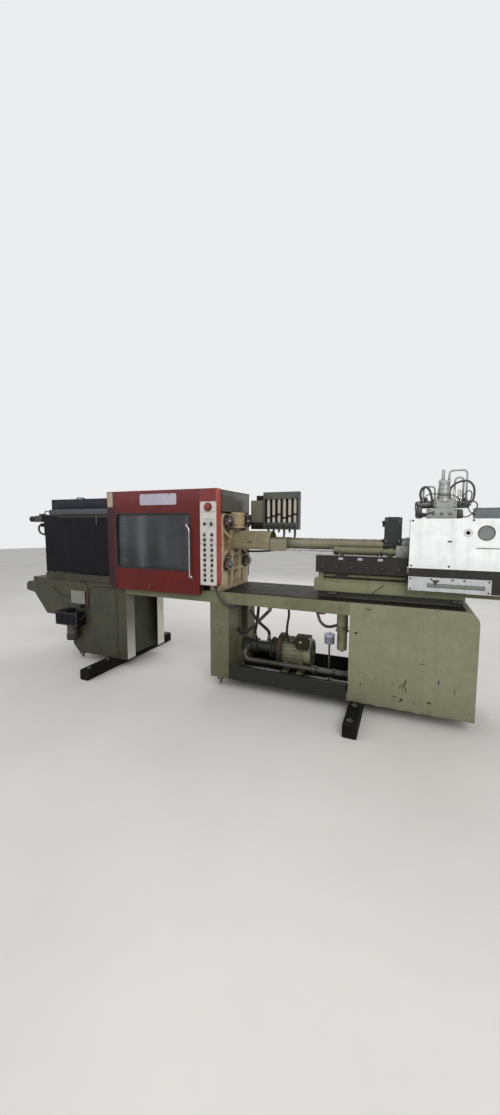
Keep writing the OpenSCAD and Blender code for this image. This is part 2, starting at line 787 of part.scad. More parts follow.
module control_panel() color(white) {
    lamp_r = 8;
    difference() {
        union() {
            span([panel_x0, panel_x0 + panel_w], [panel_front, -guard_y],
                [panel_z0, panel_z0 + panel_h]);
            for (p = button_places) at_control(p)
                along_y([panel_front - bezel_t, panel_front], button_r + 3.5);
            for (p = lamp_places) at_control(p) along_y([panel_front - bezel_t, panel_front], lamp_r);
            translate([panel_mid - control_pitch / 2, 0, key_z])
                along_y([panel_front - bezel_t, panel_front], lamp_r);
            translate([panel_mid + control_pitch / 2, 0, key_z])
                along_y([panel_front - bezel_t, panel_front], button_r + 4);
            translate([panel_mid, 0, estop_z])
                along_y([panel_front - bezel_t, panel_front], estop_r - 8);
        }
        for (p = button_places) at_control(p) {
            along_y([panel_front - bezel_t - 1, -guard_y + 1], button_stem_r + slide_fit);
            along_y([panel_front - bezel_t - 1, panel_front], button_r + slide_fit);
        }
        translate([panel_mid + control_pitch / 2, 0, key_z]) {
            along_y([panel_front - bezel_t - 1, -guard_y + 1], button_stem_r + slide_fit);
            along_y([panel_front - bezel_t - 1, panel_front], button_r + slide_fit);
        }
        translate([panel_mid, 0, estop_z])
            along_y([panel_front - bezel_t - 1, -guard_y + 1], button_r + slide_fit);
        // Groove between the emergency stop and the rest of the panel
        span([panel_x0 + 2, panel_x0 + panel_w - 2], [panel_front - 1, panel_front + 0.8],
            [estop_z - 43, estop_z - 41]);
    }
}

module push_button(i) {
    color(dark) at_control(button_places[i]) {
        cap_back = panel_front - button_travel - 1;
        along_y([cap_back - 7, cap_back], button_r);
        along_y([cap_back, -guard_y + 20], button_stem_r);
    }
}

module estop_button() color([0.62, 0.09, 0.09]) {
    head_back = panel_front - bezel_t - estop_travel - 1;
    translate([panel_mid, 0, estop_z]) {
        translate([0, head_back, 0]) rotate([90, 0, 0]) rotate_extrude() polygon([
            [0, 0], [estop_r - 2, 0], [estop_r, 3], [estop_r, 7], [estop_r - 4, 11],
            [estop_r - 12, 14], [0, 15]
        ]);
        along_y([head_back, -guard_y + 22], button_r);
    }
}

module key_switch() color(dark) {
    translate([panel_mid + control_pitch / 2, 0, key_z]) {
        along_y([panel_front - 12, panel_front - 0.3], button_r);
        along_y([panel_front - 0.3, -guard_y + 20], button_stem_r);
        translate([-4, panel_front - 26, -17]) cube([8, 14, 34]);
    }
}

module top_guard() color(shade_olive) {
    t = guard_t;
    x = [door_x0 - 30, fixed_x1 + 4];
    y = cover_y;
    rail = 30;
    eave = door_back_y - 2;
    span([x[0], column_x0 - 1], [-eave, eave], [guard_z1 - 6 - t, guard_z1 - 6]);
    span([column_x0 - 1, x[1]], [1 - platen_y, eave], [guard_z1 - 6 - t, guard_z1 - 6]);
    // Post that the rear door closes on, along the fixed platen's side
    difference() {
        span([column_x0, column_x1], [platen_y, eave], [track_z1, guard_z1 - 6]);
        span([column_x0 + t, column_x1 - t], [platen_y + t, eave - t],
            [track_z1 + t, guard_z1 - 6 - t]);
    }
    for (s = [-1, 1]) {
        span([x[0], column_x0 - 1], flank(s, y, rail), [guard_z1 - 6 - rail, guard_z1 - 6]);
        span([x[0], fixed_x1 - 6], flank(s, y - 44, rail), [guard_z1 - 6 - rail, guard_z1 - 6]);
        // Posts on the fixed platen and on the clamp cover's roof
        span([fixed_x1 - 36, fixed_x1 - 6], flank(s, y - 44, rail), [platen_z1, guard_z1 - 6]);
        span([x[0], x[0] + 20], flank(s, y - 44, rail), [cover_top_z, guard_z1 - 6]);
        span([x[0], x[0] + 20], flank(s, y, 44 + rail), [guard_z1 - 6 - rail, guard_z1 - 6]);
    }
    span([fixed_x1 - 36, fixed_x1 - 6], [44 - y, y - 44], [platen_z1 + 20, platen_z1 + 40]);
}

module guard_pane() color([0.45, 0.46, 0.45]) {
    span([fixed_x1 - 6, fixed_x1 - 2], [-platen_y, platen_y], [platen_z1 + 22, guard_z1 - 10]);
}

module door_outline(t, mirrored) {
    difference() {
        translate([door_x0 + t, door_z0 + t]) square([door_w - 2 * t, guard_z1 - door_z0 - 2 * t]);
        translate([door_x0 + t, door_z0 + t]) rotate(180) corner_cut(door_corner_r - t);
        translate([door_x1 - t, door_z0 + t]) mirror([0, 1]) corner_cut(20 - t);
    }
}

window_x1 = door_x1 - window_in;
window_z1 = guard_z1 - window_top;

module window_outline(grow) {
    round_rect([window_x1 - window_w - grow, window_z1 - window_h - grow],
        [window_x1 + grow, window_z1 + grow], 32 + grow);
}

// Shoes that ride on the lower and the upper track
module door_shoes(s) {
    length = 90;
    shoe_h = 22;
    y = s < 0 ? [-door_back_y - 2, -cover_y - 3] : [cover_y + 3, door_back_y + 2];
    for (x = [door_x0 + 70, door_x1 - 70 - length], z = [track_z1, shoulder_z1])
        span([x, x + length], y, [z + shoe_gap, z + shoe_gap + shoe_h]);
    for (x = [door_x0 + 70, door_x1 - 70 - length], z = [track_z1, shoulder_z1])
        span([x, x + length], flank(s, guard_y - 1, door_fold), [z + shoe_gap, z + shoe_gap + shoe_h]);
}

module operator_door() color(red) {
    y0 = -guard_y;
    ring = 14;
    ring_d = 20;
    difference() {
        union() {
            difference() {
                slab_y([y0, y0 + door_fold]) door_outline(0);
                slab_y([y0 + guard_t, y0 + door_fold + 1]) door_outline(guard_t);
            }
            slab_y([y0, y0 + ring_d]) window_outline(ring);
            door_shoes(-1);
        }
        slab_y([y0 - 1, y0 + door_fold + 1]) window_outline(0);
    }
}

module door_window() color([0.30, 0.33, 0.35, 0.5]) {
    slab_y([-guard_y + 20, -guard_y + 24]) window_outline(10);
}

module door_handle() color(steel) {
    x = window_x1 + 2;
    bar = [14, 8];
    z1 = window_z1 - 110;
    z0 = z1 - handle_l;
    stand = 24;
    span([x, x + bar[0]], [-guard_y - stand - bar[1], -guard_y - stand], [z0, z1]);
    for (z = [z0 + 6, z1 - 20])
        span([x + 4, x + bar[0]], [-guard_y - stand, -guard_y], [z, z + 14]);
}

module rear_door() color(red) {
    rib = 60;
    difference() {
        slab_y([guard_y - door_fold, guard_y]) door_outline(0);
        slab_y([guard_y - door_fold - 1, guard_y - guard_t]) door_outline(guard_t);
    }
    // Pressed ribs that stiffen the sheet
    for (i = [1 : 3])
        span([door_x0 + i * door_w / 4 - rib / 2, door_x0 + i * door_w / 4 + rib / 2],
            [guard_y - guard_t - 8, guard_y - guard_t], [door_z0 + 120, guard_z1 - 120]);
    door_shoes(1);
}

module moving_platen() color(cream) {
    wall = 24;
    half = 150;
    difference() {
        slab_x([moving_x0, moving_x1]) platen_face();
        platen_pockets([moving_x0 - 1, moving_x0 + platen_pocket]);
        translate([0, 0, axis_z]) along_x([moving_x0 - 1, moving_x1 + 1], sprue_r);
        mould_bolt_places() along_x([moving_x1 - mould_bolt_depth, moving_x1 + 1], mould_bolt_r);
        eject_places() along_x([moving_x0 - 1, moving_x1 + 1], eject_pin_r + slide_fit);
    }
    // Open box behind the platen, with the ram bolted to its end plate
    difference() {
        union() {
            for (s = [-1, 1]) span([box_x0, moving_x0], flank(s, half, wall),
                [axis_z - half, axis_z + half]);
            span([box_x0, box_x0 + 30], [-half, half], [axis_z - half, axis_z + half]);
        }
        translate([0, 0, axis_z]) along_x([box_x0 - 1, box_x0 + 31], eject_rod_r + slide_fit);
    }
    for (s = [-1, 1]) {
        y = s < 0 ? [-way_y[1] - 5, -way_y[0]] : [way_y[0], way_y[1] + 5];
        span([moving_x0 - 60, moving_x1 - 10], y, [way_z + shoe_gap, platen_z0]);
    }
}

eject_rod_r = 20;

module eject_places() {
    for (y = [-1, 1], z = [-1, 1])
        translate([0, y * eject_pitch, axis_z + z * eject_pitch]) children();
}

module clamp_ram() color(chrome) {
    flange_t = 30;
    translate([0, 0, axis_z]) difference() {
        union() {
            along_x([ram_tail_x, box_x0], ram_r);
            along_x([ram_tail_x, ram_tail_x + piston_l], bore_r - slide_fit);
            along_x([box_x0 - flange_t, box_x0], ram_r + 30);
        }
        along_x([box_x0 - 130, box_x0 + 1], eject_rod_r + 3);
    }
}

module ejector_plate() color(steel) {
    x = box_x0 + 50;
    half = 95;
    span([x, x + 20], [-half, half], [axis_z - half, axis_z + half]);
    eject_places() along_x([x + 20, moving_x1 - 5], eject_pin_r);
    translate([0, 0, axis_z]) along_x([box_x0 - 100, x], eject_rod_r);
}

regulator_tubes = 6;
regulator_x = [fixed_x1 + 184, fixed_x1 + 544];
regulator_y = [platen_y - 56, platen_y - 1];
regulator_mid = (regulator_y[0] + regulator_y[1]) / 2;
regulator_z = axis_z + 117;
nipple_l = 16;

function regulator_tube_x(i) =
    regulator_x[0] + 46 + i * (regulator_x[1] - regulator_x[0] - 92) / (regulator_tubes - 1);

module flow_regulator() color(shade_olive) {
    y = regulator_y;
    x = regulator_x;
    z = [regulator_z, regulator_z + 357];
    band = 66;
    span(x, y, [z[1] - band, z[1]]);
    span(x, y, [z[0], z[0] + band]);
    for (at = [x[0], x[1] - 14]) span([at, at + 14], y, z);
    for (i = [0 : regulator_tubes - 1]) translate([regulator_tube_x(i), regulator_mid, 0]) {
        along_z([z[0] + band, z[1] - band], 15);
        along_z([z[0] - nipple_l, z[0]], 12, $fn = 6);
        translate([0, y[0] - regulator_mid, z[0] + band / 2]) along_y([-10, 0], 12);
    }
    // Bracket plate and post from the fixed platen
    span([fixed_x1, x[0]], [y[0] + 36, y[0] + 46], [axis_z + 169, platen_z1]);
    span([fixed_x1 + 60, x[0]], [y[0] + 16, y[0] + 46], [axis_z + 169, axis_z + 398]);
}

module carriage_base() color(olive) {
    x = [right_leg_x1 + carriage_lead, cabinet_x1 - carriage_tail];
    half = 207;
    edge = 22;
    rod_z = carriage_z1 + 26;
    for (s = [-1, 1]) span([x[0] + 30, x[1] - 20], flank(s, half - 20, 60), [riser_z0, carriage_z0]);
    slab_x(x) polygon([
        [-half, carriage_z0], [half, carriage_z0], [half, carriage_z1 - edge],
        [half - edge, carriage_z1], [edge - half, carriage_z1], [-half, carriage_z1 - edge]
    ]);
    for (s = [-1, 1]) {
        // Cheek plate with a slanting end
        slab_y(flank(s, half + 6, 6)) polygon([
            [x[0], carriage_z0], [x[0] + 448, carriage_z0], [x[0] + 535, carriage_z1 - edge],
            [x[0], carriage_z1 - edge]
        ]);
        // Stop blocks on the rails, and the bars that carry hoses past the base
        for (at = [x[0] + 114, x[1] - 82]) span([at, at + 70], flank(s, half, 20),
            [riser_z0 + 26, riser_z0 + 47]);
        span([x[1], x[1] + 215], flank(s, half, 22), [carriage_z0 + 23, carriage_z0 + 45]);
    }
    for (at = [x[0] + 30, x[1] - 50], s = [-1, 1]) {
        span([at, at + 40], flank(s, slide_rod_y + 34, 68), [carriage_z1, carriage_z1 + 48]);
        translate([0, s * slide_rod_y, rod_z]) along_x([x[0] + 30, x[1] - 10], slide_rod_r);
    }
}

slide_rod_y = 150;
pull_y = -85;
pull_z = axis_z - 47;

module carriage_rod() color(chrome) {
    piston_x = housing_x0 - 180;
    translate([0, pull_y, pull_z]) {
        along_x([fixed_x1, piston_x], pull_rod_r);
        along_x([piston_x, piston_x + 20], pull_cylinder_r - 7 - slide_fit);
        along_x([fixed_x1, fixed_x1 + 16], 16, $fn = 6);
    }
}

module carriage_cylinder() color(olive) {
    x0 = housing_x0 - 520;
    x1 = housing_x0 - 136;
    translate([0, pull_y, pull_z]) difference() {
        union() {
            along_x([x0, x1], pull_cylinder_r);
            along_x([x1, x1 + 36], 26);
            along_x([x1 + 36, x1 + 82], pull_cylinder_r);
            along_x([x1 + 82, housing_x0 + 54], 23);
        }
        along_x([x0 + 20, x1 - 10], pull_cylinder_r - 7);
        along_x([x0 - 1, x0 + 21], pull_rod_r + slide_fit);
    }
}

barrel_x0 = fixed_x1 + 20;
barrel_x1 = housing_x0 - 7;

module barrel() color(steel) {
    translate([0, 0, axis_z]) difference() {
        union() {
            along_x([barrel_x0, barrel_x1], barrel_r);
            translate([barrel_x0 - 70, 0, 0]) rotate([0, 90, 0])
                cylinder(r1 = 16, r2 = 28, h = 70);
            along_x([barrel_x0 - 90, barrel_x0 - 70], 11);
        }
        along_x([barrel_x0 + 30, barrel_x1 + 1], screw_r + slide_fit);
        along_x([barrel_x0 - 91, barrel_x0 + 31], 4);
        translate([feed_x, 0, 0]) along_z([0, barrel_r + 5], 22);
    }
}

module zone_outline(t) {
    half = 98 - t;
    top = 53 - t;
    bottom = -64;
    difference() {
        translate([-half, axis_z + bottom]) square([2 * half, top - bottom]);
        translate([half, axis_z + top]) corner_cut(40);
        translate([-half, axis_z + top]) mirror([1, 0]) corner_cut(40);
    }
}

zone_x0 = fixed_x1 + 2 + nozzle_cover_l;
jacket_x0 = zone_x0 + zone_cover_l + 3;

module barrel_jacket() color(cream) {
    t = 2;
    x1 = feed_x - feed_w / 2 - 9;
    zone_x1 = zone_x0 + zone_cover_l;
    difference() {
        slab_x([zone_x0, zone_x1]) zone_outline(0);
        slab_x([zone_x0 - 1, zone_x1 - t]) zone_outline(t);
        span([zone_x0, zone_x1 + 1], [-96, 96], [axis_z - 65, axis_z - 55]);
        translate([0, 0, axis_z]) along_x([zone_x0, zone_x1 + 1], barrel_r);
        translate([0, pull_y, pull_z]) along_x([zone_x0, zone_x1 + 1], pull_rod_r + 2);
    }
    // Jacket in three bands with a raised seam between them
    band_l = (x1 - jacket_x0) / 3;
    translate([0, 0, axis_z]) difference() {
        union() {
            along_x([zone_x1 - t, x1], jacket_r - 1);
            for (i = [0 : 2])
                along_x([jacket_x0 + i * band_l + 3, jacket_x0 + (i + 1) * band_l - 3], jacket_r);
        }
        along_x([zone_x1 - t - 1, x1 + 1], barrel_r);
    }
}

module nozzle_outline(t) {
    skirt = 50;
    r = nozzle_cover_r - t;
    translate([0, axis_z]) {
        intersection() {
            circle(r = r);
            translate([-r, 0]) square([2 * r, r]);
        }
        translate([-r, -skirt]) square([2 * r, skirt]);
    }
}

module nozzle_cover() color(cream) {
    t = 3;
    end_in = 40;
    x = [fixed_x1 + 2, zone_x0];
    difference() {
        slab_x(x) nozzle_outline(0);
        // Open at both ends, with a plate inside that sits on the barrel
        for (part = [[x[0] - 1, x[1] - end_in - 6], [x[1] - end_in, x[1] + 1]]) {
            slab_x(part) nozzle_outline(t);
            span(part, [t - nozzle_cover_r, nozzle_cover_r - t], [axis_z - 51, axis_z - 49]);
        }
        translate([0, 0, axis_z]) along_x([x[0], x[1] + 1], barrel_r);
        translate([0, pull_y, pull_z]) along_x([x[0], x[1] + 1], pull_rod_r + 2);
        // Slot in the near skirt
        span([x[0] + 150, x[0] + 204], [-nozzle_cover_r - 1, t + 1 - nozzle_cover_r],
            [axis_z + 4, axis_z + 12]);
    }
    // Turned-out lip along the foot of the near skirt
    span([x[0], x[1]], [-nozzle_cover_r - 10, -nozzle_cover_r], [axis_z - 50, axis_z - 46]);
}

feed_x = housing_x0 - 71;

module feed_block() color(dark) {
    x = [feed_x - feed_w / 2, feed_x + feed_w / 2];
    z1 = axis_z + feed_h;
    neck = 54;
    difference() {
        union() {
            span(x, [-feed_d / 2, feed_d / 2], [axis_z + 20, z1]);
            translate([0, 0, axis_z]) along_x([x[0], x[1]], neck);
            span([x[0] - 18, x[0]], [-20, 20], [axis_z + 150, axis_z + 190]);
            span([x[0] + 8, x[1] - 8], [-40, 40], [axis_z - 60, axis_z]);
        }
        translate([0, 0, axis_z]) along_x([x[0] - 1, x[1] + 1], barrel_r + 0.05);
        translate([feed_x, 0, 0]) along_z([axis_z + barrel_r + 5, z1 + 1], throat_r);
        translate([feed_x, 0, 0]) along_z([axis_z, z1], 22);
        for (dx = [-0.5, 0.5], dy = [-0.5, 0.5])
            translate([feed_x + dx * hopper_pitch_x, dy * hopper_pitch_y, 0])
                along_z([z1 - 30, z1 + 1], 5);
    }
}

carriage_plate_z = carriage_z1 + 52;
carriage_plate_t = 16;
strip_z0 = carriage_z1 - 33;
cover_foot_z = axis_z - inj_cover_drop;
inj_cover_x0 = housing_x0 + 50;
inj_y = outer_y - 7;
inj_cylinder_y = 150;
inj_rod_r = 22;
shank_r = 25;

module injection_housing() color(dark) {
    plate_z = [carriage_plate_z, carriage_plate_z + carriage_plate_t];
    x_plate = [right_leg_x1 + carriage_lead + 12, end_x1 - 4];
    front_x = [housing_x0 + 54, housing_x0 + 110];
    rear_x = [end_x1 - 60, end_x1 - 4];
    top_z = axis_z + inj_cover_h - 12;
    span(x_plate, [-213, 213], plate_z);
    span([front_x[0], x_plate[1]], [6 - inj_y, inj_y - 6], plate_z);
    for (s = [-1, 1]) {
        span([front_x[0], x_plate[1]], flank(s, inj_y, 6), [strip_z0, cover_foot_z]);
        // Bushes on the slide rods
        for (x = [x_plate[0] + 160, x_plate[0] + 670]) difference() {
            span([x, x + 80], flank(s, slide_rod_y + 34, 68), [carriage_z1 + 4, carriage_plate_z]);
            translate([0, s * slide_rod_y, carriage_z1 + 26])
                along_x([x - 1, x + 81], slide_rod_r + slide_fit);
        }
        // Injection cylinders
        translate([0, s * inj_cylinder_y, axis_z]) difference() {
            along_x([front_x[1], front_x[1] + 260], 50);
            along_x([front_x[1] + 10, front_x[1] + 261], inj_rod_r + slide_fit);
        }
    }
    difference() {
        union() {
            span(front_x, [-215, 215], [plate_z[1], top_z]);
            span([front_x[1], front_x[1] + 250], [-95, 95], [top_z - 60, top_z]);
            translate([0, 0, axis_z]) along_x([barrel_x1, front_x[0]], 62);
        }
        translate([0, 0, axis_z]) along_x([barrel_x1 - 1, front_x[1] + 1], shank_r + 2);
    }
    span(rear_x, [-215, 215], [plate_z[1], top_z]);
}

module terminal_box() color(dark) {
    x = [right_leg_x1 + carriage_lead + 12, housing_x0 + 40];
    z0 = carriage_plate_z + carriage_plate_t;
    lid = 3;
    gland_in = 60;
    span(x, [-213, -120], [z0, z0 + 112]);
    span([x[0] - lid, x[1] + lid], [-213 - lid, -117], [z0 + 112, z0 + 115]);
    for (i = [0 : 5]) translate([x[0] + gland_in + i * (x[1] - x[0] - 2 * gland_in) / 5, -213, z0 + 30])
        along_y([-18, 0], 10);
}

module injection_cover() color(white) {
    t = 2;
    x = [inj_cover_x0, end_x1];
    z = [cover_foot_z, axis_z + inj_cover_h];
    y = outer_y;
    shelf = [housing_x0 + 110 - 4, housing_x0 + 364];
    difference() {
        span(x, [-y, y], z);
        span([x[0] + t, x[1] - t], [t - y, y - t], [z[0] + t, z[1] - t]);
        // The foot is open inside its narrow flange
        span([x[0] + t, x[1] - t], [13 - y, y - 13], [z[0] - 1, z[0] + t + 1]);
        // Opening for the barrel's neck and the carriage cylinder
        span([x[0] - 1, x[0] + t + 1], [-125, 125], [z[0] - 1, axis_z + 70]);
        span(shelf, [-100, 100], [z[1] - t - 1, z[1] + 1]);
        // Inspection hole and screened window
        translate([x[0] + 357, 0, axis_z + 116]) along_y([-y - 1, t + 1 - y], 12);
        translate([x[0] + 463, 0, axis_z + 116]) along_y([-y - 1, t + 1 - y], 46);
        span([x[0] + 408, x[1] - 90], [-y - 1, t + 1 - y], [axis_z + 11, axis_z + 16]);
    }
}

module position_strip() color(white) {
    x = [inj_cover_x0, inj_cover_x0 + 510];
    z = [strip_z0, carriage_z1 + 66];
    difference() {
        span(x, [-inj_y - 4, -inj_y], z);
        span([x[0] + 121, x[1] - 36], [-inj_y - 5, 1 - inj_y], [z[0] + 27, z[0] + 56]);
    }
}

valve_x = housing_x0 + 162;
valve_z = axis_z + inj_cover_h - 12;

module valve_stack() color(steel) {
    block_z = [valve_z + 90, valve_z + 141];
    block_x = [valve_x + 43, valve_x + 198];
    pilot_x = valve_x + 113;
    pilot_h = 143;
    coil_z = valve_z + 122;
    coil_r = 28;
    left_coil = [valve_x - 68, block_x[0]];
    right_coil = [block_x[1], valve_x + 281];
    // Manifold, sandwich block and pilot valve on top of each other
    difference() {
        span([valve_x, valve_x + 200], [-60, 60], [valve_z, block_z[0]]);
        for (dx = [45, 100, 155]) translate([valve_x + dx, 0, valve_z + 50]) along_y([-61, -30], 12);
    }
    span(block_x, [-45, 45], block_z);
    translate([pilot_x, 0, block_z[1]]) {
        cylinder(r1 = 54, r2 = 36, h = pilot_h);
        translate([-58, -40, 0]) cube([116, 80, 18]);
        translate([-40, -32, pilot_h]) cube([80, 64, 14]);
        translate([-10, 0, 0]) along_z([pilot_h + 14, pilot_h + 96], 12);
        for (dx = [-31, 31], dy = [-23, 23]) translate([dx, dy, 0])
            along_z([pilot_h + 14, pilot_h + 21], 7, $fn = 6);
    }
    // Coils left and right of the sandwich block, with a cap at the outer ends
    for (coil = [left_coil, right_coil]) translate([0, 0, coil_z]) along_x(coil, coil_r);
    translate([0, 0, coil_z]) along_x([left_coil[0] - 14, left_coil[0]], 14);
    translate([0, 0, coil_z]) along_x([right_coil[1], right_coil[1] + 12], 14);
    // Check valves beside the manifold
    translate([valve_x - 53, 0, 0]) along_z([valve_z + 12, coil_z - 10], 22);
    span([valve_x - 53, valve_x], [-16, 16], [valve_z + 30, valve_z + 56]);
    translate([valve_x + 222, 0, 0]) along_z([valve_z + 12, valve_z + 85], 20);
    span([valve_x + 200, valve_x + 222], [-14, 14], [valve_z + 28, valve_z + 52]);
    // Pipes that loop between the pilot valve, the sandwich block and the coils
    pipe_r = 7;
    bend = 26;
    loop_x = [pilot_x + 30, valve_x + 260];
    translate([0, 0, block_z[1] + pilot_h + 87])
        pipe_run(loop_x, pipe_r, bend, pilot_h + 87 + block_z[1] - coil_z - coil_r + 2, 73);
    inner_x = [block_x[1] - 14, valve_x + 240];
    translate([0, 12, block_z[1] + 179])
        pipe_run(inner_x, pipe_r, bend, 179 + block_z[1] - coil_z - coil_r + 6, 179);
    left_x = [left_coil[0] + 40, block_x[0] + 7];
    translate([0, -28, block_z[1] + 114])
        pipe_run(left_x, pipe_r, bend, 114, 114 + block_z[1] - coil_z - 2);
}

// A bent pipe: up rise from the left end, across, and down drop at the right end
module pipe_run(x, r, bend, drop, rise) {
    along = [x[0] + bend, x[1] - bend];
    along_x(along, r);
    translate([x[0] + bend, 0, -bend]) rotate([90, 0, 0]) rotate([0, 0, 90])
        rotate_extrude(angle = 90) translate([bend, 0]) circle(r = r);
    translate([x[1] - bend, 0, -bend]) rotate([90, 0, 0])
        rotate_extrude(angle = 90) translate([bend, 0]) circle(r = r);
    translate([x[0], 0, 0]) along_z([-rise, -bend], r);
    translate([x[1], 0, 0]) along_z([-drop, -bend], r);
}

module junction_box() color(shade_olive) {
    z = axis_z + inj_cover_h;
    x = inj_cover_x0 + 431;
    span([x, x + 150], [-60, 60], [z, z + 72]);
    span([x - 4, x + 154], [-64, 64], [z + 72, z + 78]);
}

crosshead_x = housing_x0 + 470;

module crosshead() color(olive) {
    plate_t = 50;
    drive_l = 180;
    difference() {
        union() {
            span([crosshead_x, crosshead_x + plate_t], [-205, 205], [axis_z - 70, axis_z + 70]);
            span([crosshead_x, crosshead_x + plate_t], [-60, 60],
                [carriage_plate_z + carriage_plate_t + shoe_gap, axis_z - 69]);
            translate([0, 0, axis_z])
                along_x([crosshead_x + plate_t, crosshead_x + plate_t + drive_l], 78);
            for (s = [-1, 1]) translate([0, s * inj_cylinder_y, axis_z])
                along_x([crosshead_x - 310, crosshead_x], inj_rod_r);
        }
        translate([0, 0, axis_z]) along_x([crosshead_x - 1, crosshead_x + plate_t + 60],
            shank_r + slide_fit);
    }
}

module screw() color(chrome) {
    tip_x = barrel_x0 + 34;
    root_r = screw_r - 4;
    translate([0, 0, axis_z]) {
        translate([tip_x, 0, 0]) rotate([0, 90, 0]) cylinder(r1 = 5, r2 = root_r, h = 24);
        along_x([tip_x + 24, barrel_x1 - 40], root_r);
        // Flight lands, a pitch apart
        for (i = [0 : 34]) along_x([tip_x + 40 + i * 38, tip_x + 45 + i * 38], screw_r);
        along_x([barrel_x1 - 40, barrel_x1 + 20], screw_r);
        along_x([barrel_x1 + 20, crosshead_x + 100], shank_r);
    }
}

// Motor and pump, from the pump's free end to the motor's fan end
pump_x0 = right_leg_x1 + 16;
bell_x0 = pump_x0 + pump_l;
motor_x0 = bell_x0 + bell_l;
motor_y = 10;
function motor_feet_x() = [motor_x0 + 60, motor_x0 + motor_l - 90];

module at_motor() {
    translate([0, motor_y, motor_z]) children();
}

module motor() color(olive) {
    fins = 24;
    bell_t = 22;
    cowl_l = 60;
    at_motor() difference() {
        union() {
            along_x([motor_x0, motor_x0 + motor_l], motor_r);
            along_x([motor_x0, motor_x0 + bell_t], bell_r);
            along_x([motor_x0 + motor_l - cowl_l, motor_x0 + motor_l], motor_r + 6);
            for (i = [0 : fins - 1]) rotate([i * 360 / fins, 0, 0])
                translate([motor_x0 + bell_t, motor_r - 3, -2])
                    cube([motor_l - bell_t - cowl_l - 8, fin_h + 3, 4]);
        }
        // Recess for the coupling
        along_x([motor_x0 - 1, motor_x0 + bell_t - 4], 60);
    }
    for (x = motor_feet_x(), s = [-1, 1])
        span([x - 25, x + 25], s < 0 ? [motor_y - 130, motor_y - 60] : [motor_y + 60, motor_y + 130],
            [rail_z + 12, rail_z + 30]);
    for (x = motor_feet_x(), s = [-1, 1])
        span([x - 22, x + 22], s < 0 ? [motor_y - 96, motor_y - 66] : [motor_y + 66, motor_y + 96],
            [rail_z + 30, motor_z - 60]);
    // Terminal box on the near shoulder
    span([motor_x0 + 155, motor_x0 + motor_l], [motor_y - motor_r - 22, motor_y - 30],
        [motor_z + 62, motor_z + motor_r + 56]);
}

module bell_housing() color([0.34, 0.27, 0.20]) {
    wall = 14;
    at_motor() difference() {
        union() {
            along_x([bell_x0, bell_x0 + bell_l - 18], pump_r + 22);
            along_x([bell_x0 + bell_l - 18, motor_x0], bell_r);
            along_x([bell_x0, bell_x0 + 14], pump_r + 30);
        }
        along_x([bell_x0 + 14, motor_x0 + 1], pump_r + 22 - wall);
        along_x([bell_x0 - 1, bell_x0 + 15], 30);
        // Windows over the coupling
        for (a = [0, 120, 240]) rotate([a, 0, 0])
            span([bell_x0 + 30, bell_x0 + bell_l - 30], [-28, 28], [40, bell_r]);
    }
}

module pump_coupling() color(steel) {
    mid = bell_x0 + bell_l / 2;
    at_motor() {
        along_x([bell_x0 - 40, bell_x0 + 20], 14);
        along_x([bell_x0 + 20, mid - 6], 34);
        along_x([mid + 6, motor_x0 + 14], 34);
        // Fingers that mesh between the two hubs
        for (i = [0 : 5]) rotate([60 * i, 0, 0])
            span([mid - 7, mid + 7], [14, 32], [-6, 6]);
    }
}

module pump() color(shade_olive) {
    ring_l = 145;
    stage_r = pump_r - 16;
    at_motor() difference() {
        union() {
            along_x([pump_x0, pump_x0 + ring_l], pump_r);
            along_x([pump_x0 + ring_l, bell_x0], stage_r);
            along_x([bell_x0 - 16, bell_x0], pump_r);
            translate([outlet_x, 0, 0]) along_z([35, outlet_h], 22);
            translate([stage_x, 0, 0]) along_z([35, outlet_h - 14], 18);
            for (i = [0 : 7]) rotate([45 * i + 22.5, 0, 0]) translate([0, pump_r - 14, 0])
                along_x([pump_x0 - 8, pump_x0], 7, $fn = 6);
            // Suction port on the near side
            translate([suction_x, 0, 0]) along_y([-suction_l, -35], 30);
        }
        along_x([bell_x0 - 44, bell_x0 + 1], 14 + slide_fit);
    }
}

// Ports of the pump: two outlets on top and the suction on the near side
outlet_x = pump_x0 + 110;
outlet_h = pump_r + 22;
stage_x = pump_x0 + 250;
suction_x = pump_x0 + 72;
suction_l = pump_r + 14;

// A quarter bend in XZ or YZ whose ends lie on the axes of the pipes it joins
module elbow(bend, r) {
    rotate_extrude(angle = 90) translate([bend, 0]) circle(r = r);
}

module tank_piping() color(steel) {
    pipe_r = 22;
    bend = 50;
    run_y = motor_y - suction_l - 20 - bend;
    run_z = base_z + 140;
    // Suction pipe: out of the pump, down, and along to the tank
    translate([suction_x, motor_y - suction_l, motor_z]) {
        along_y([-20, 0], 30);
        translate([0, -20, -bend]) rotate([0, -90, 0]) rotate([0, 0, 270]) elbow(bend, pipe_r);
    }
    translate([suction_x, run_y, 0]) along_z([run_z + bend, motor_z - bend], pipe_r);
    translate([suction_x + bend, run_y, run_z + bend]) rotate([90, 0, 0]) rotate([0, 0, 180])
        elbow(bend, pipe_r);
    translate([0, run_y, run_z]) {
        along_x([suction_x + bend, cabinet_x0], pipe_r);
        for (x = [cabinet_x0 - 320, cabinet_x0 - 30]) along_x([x, x + 30], pipe_r + 10);
    }
    // Filler pipe with its breather cap, on the near rail
    translate([cabinet_x0 - 189, -85, 0]) {
        along_z([rail_z, rail_z + 318], 8);
        along_z([rail_z + 318, rail_z + 382], 42);
        along_z([rail_z, rail_z + 8], 19);
    }
}

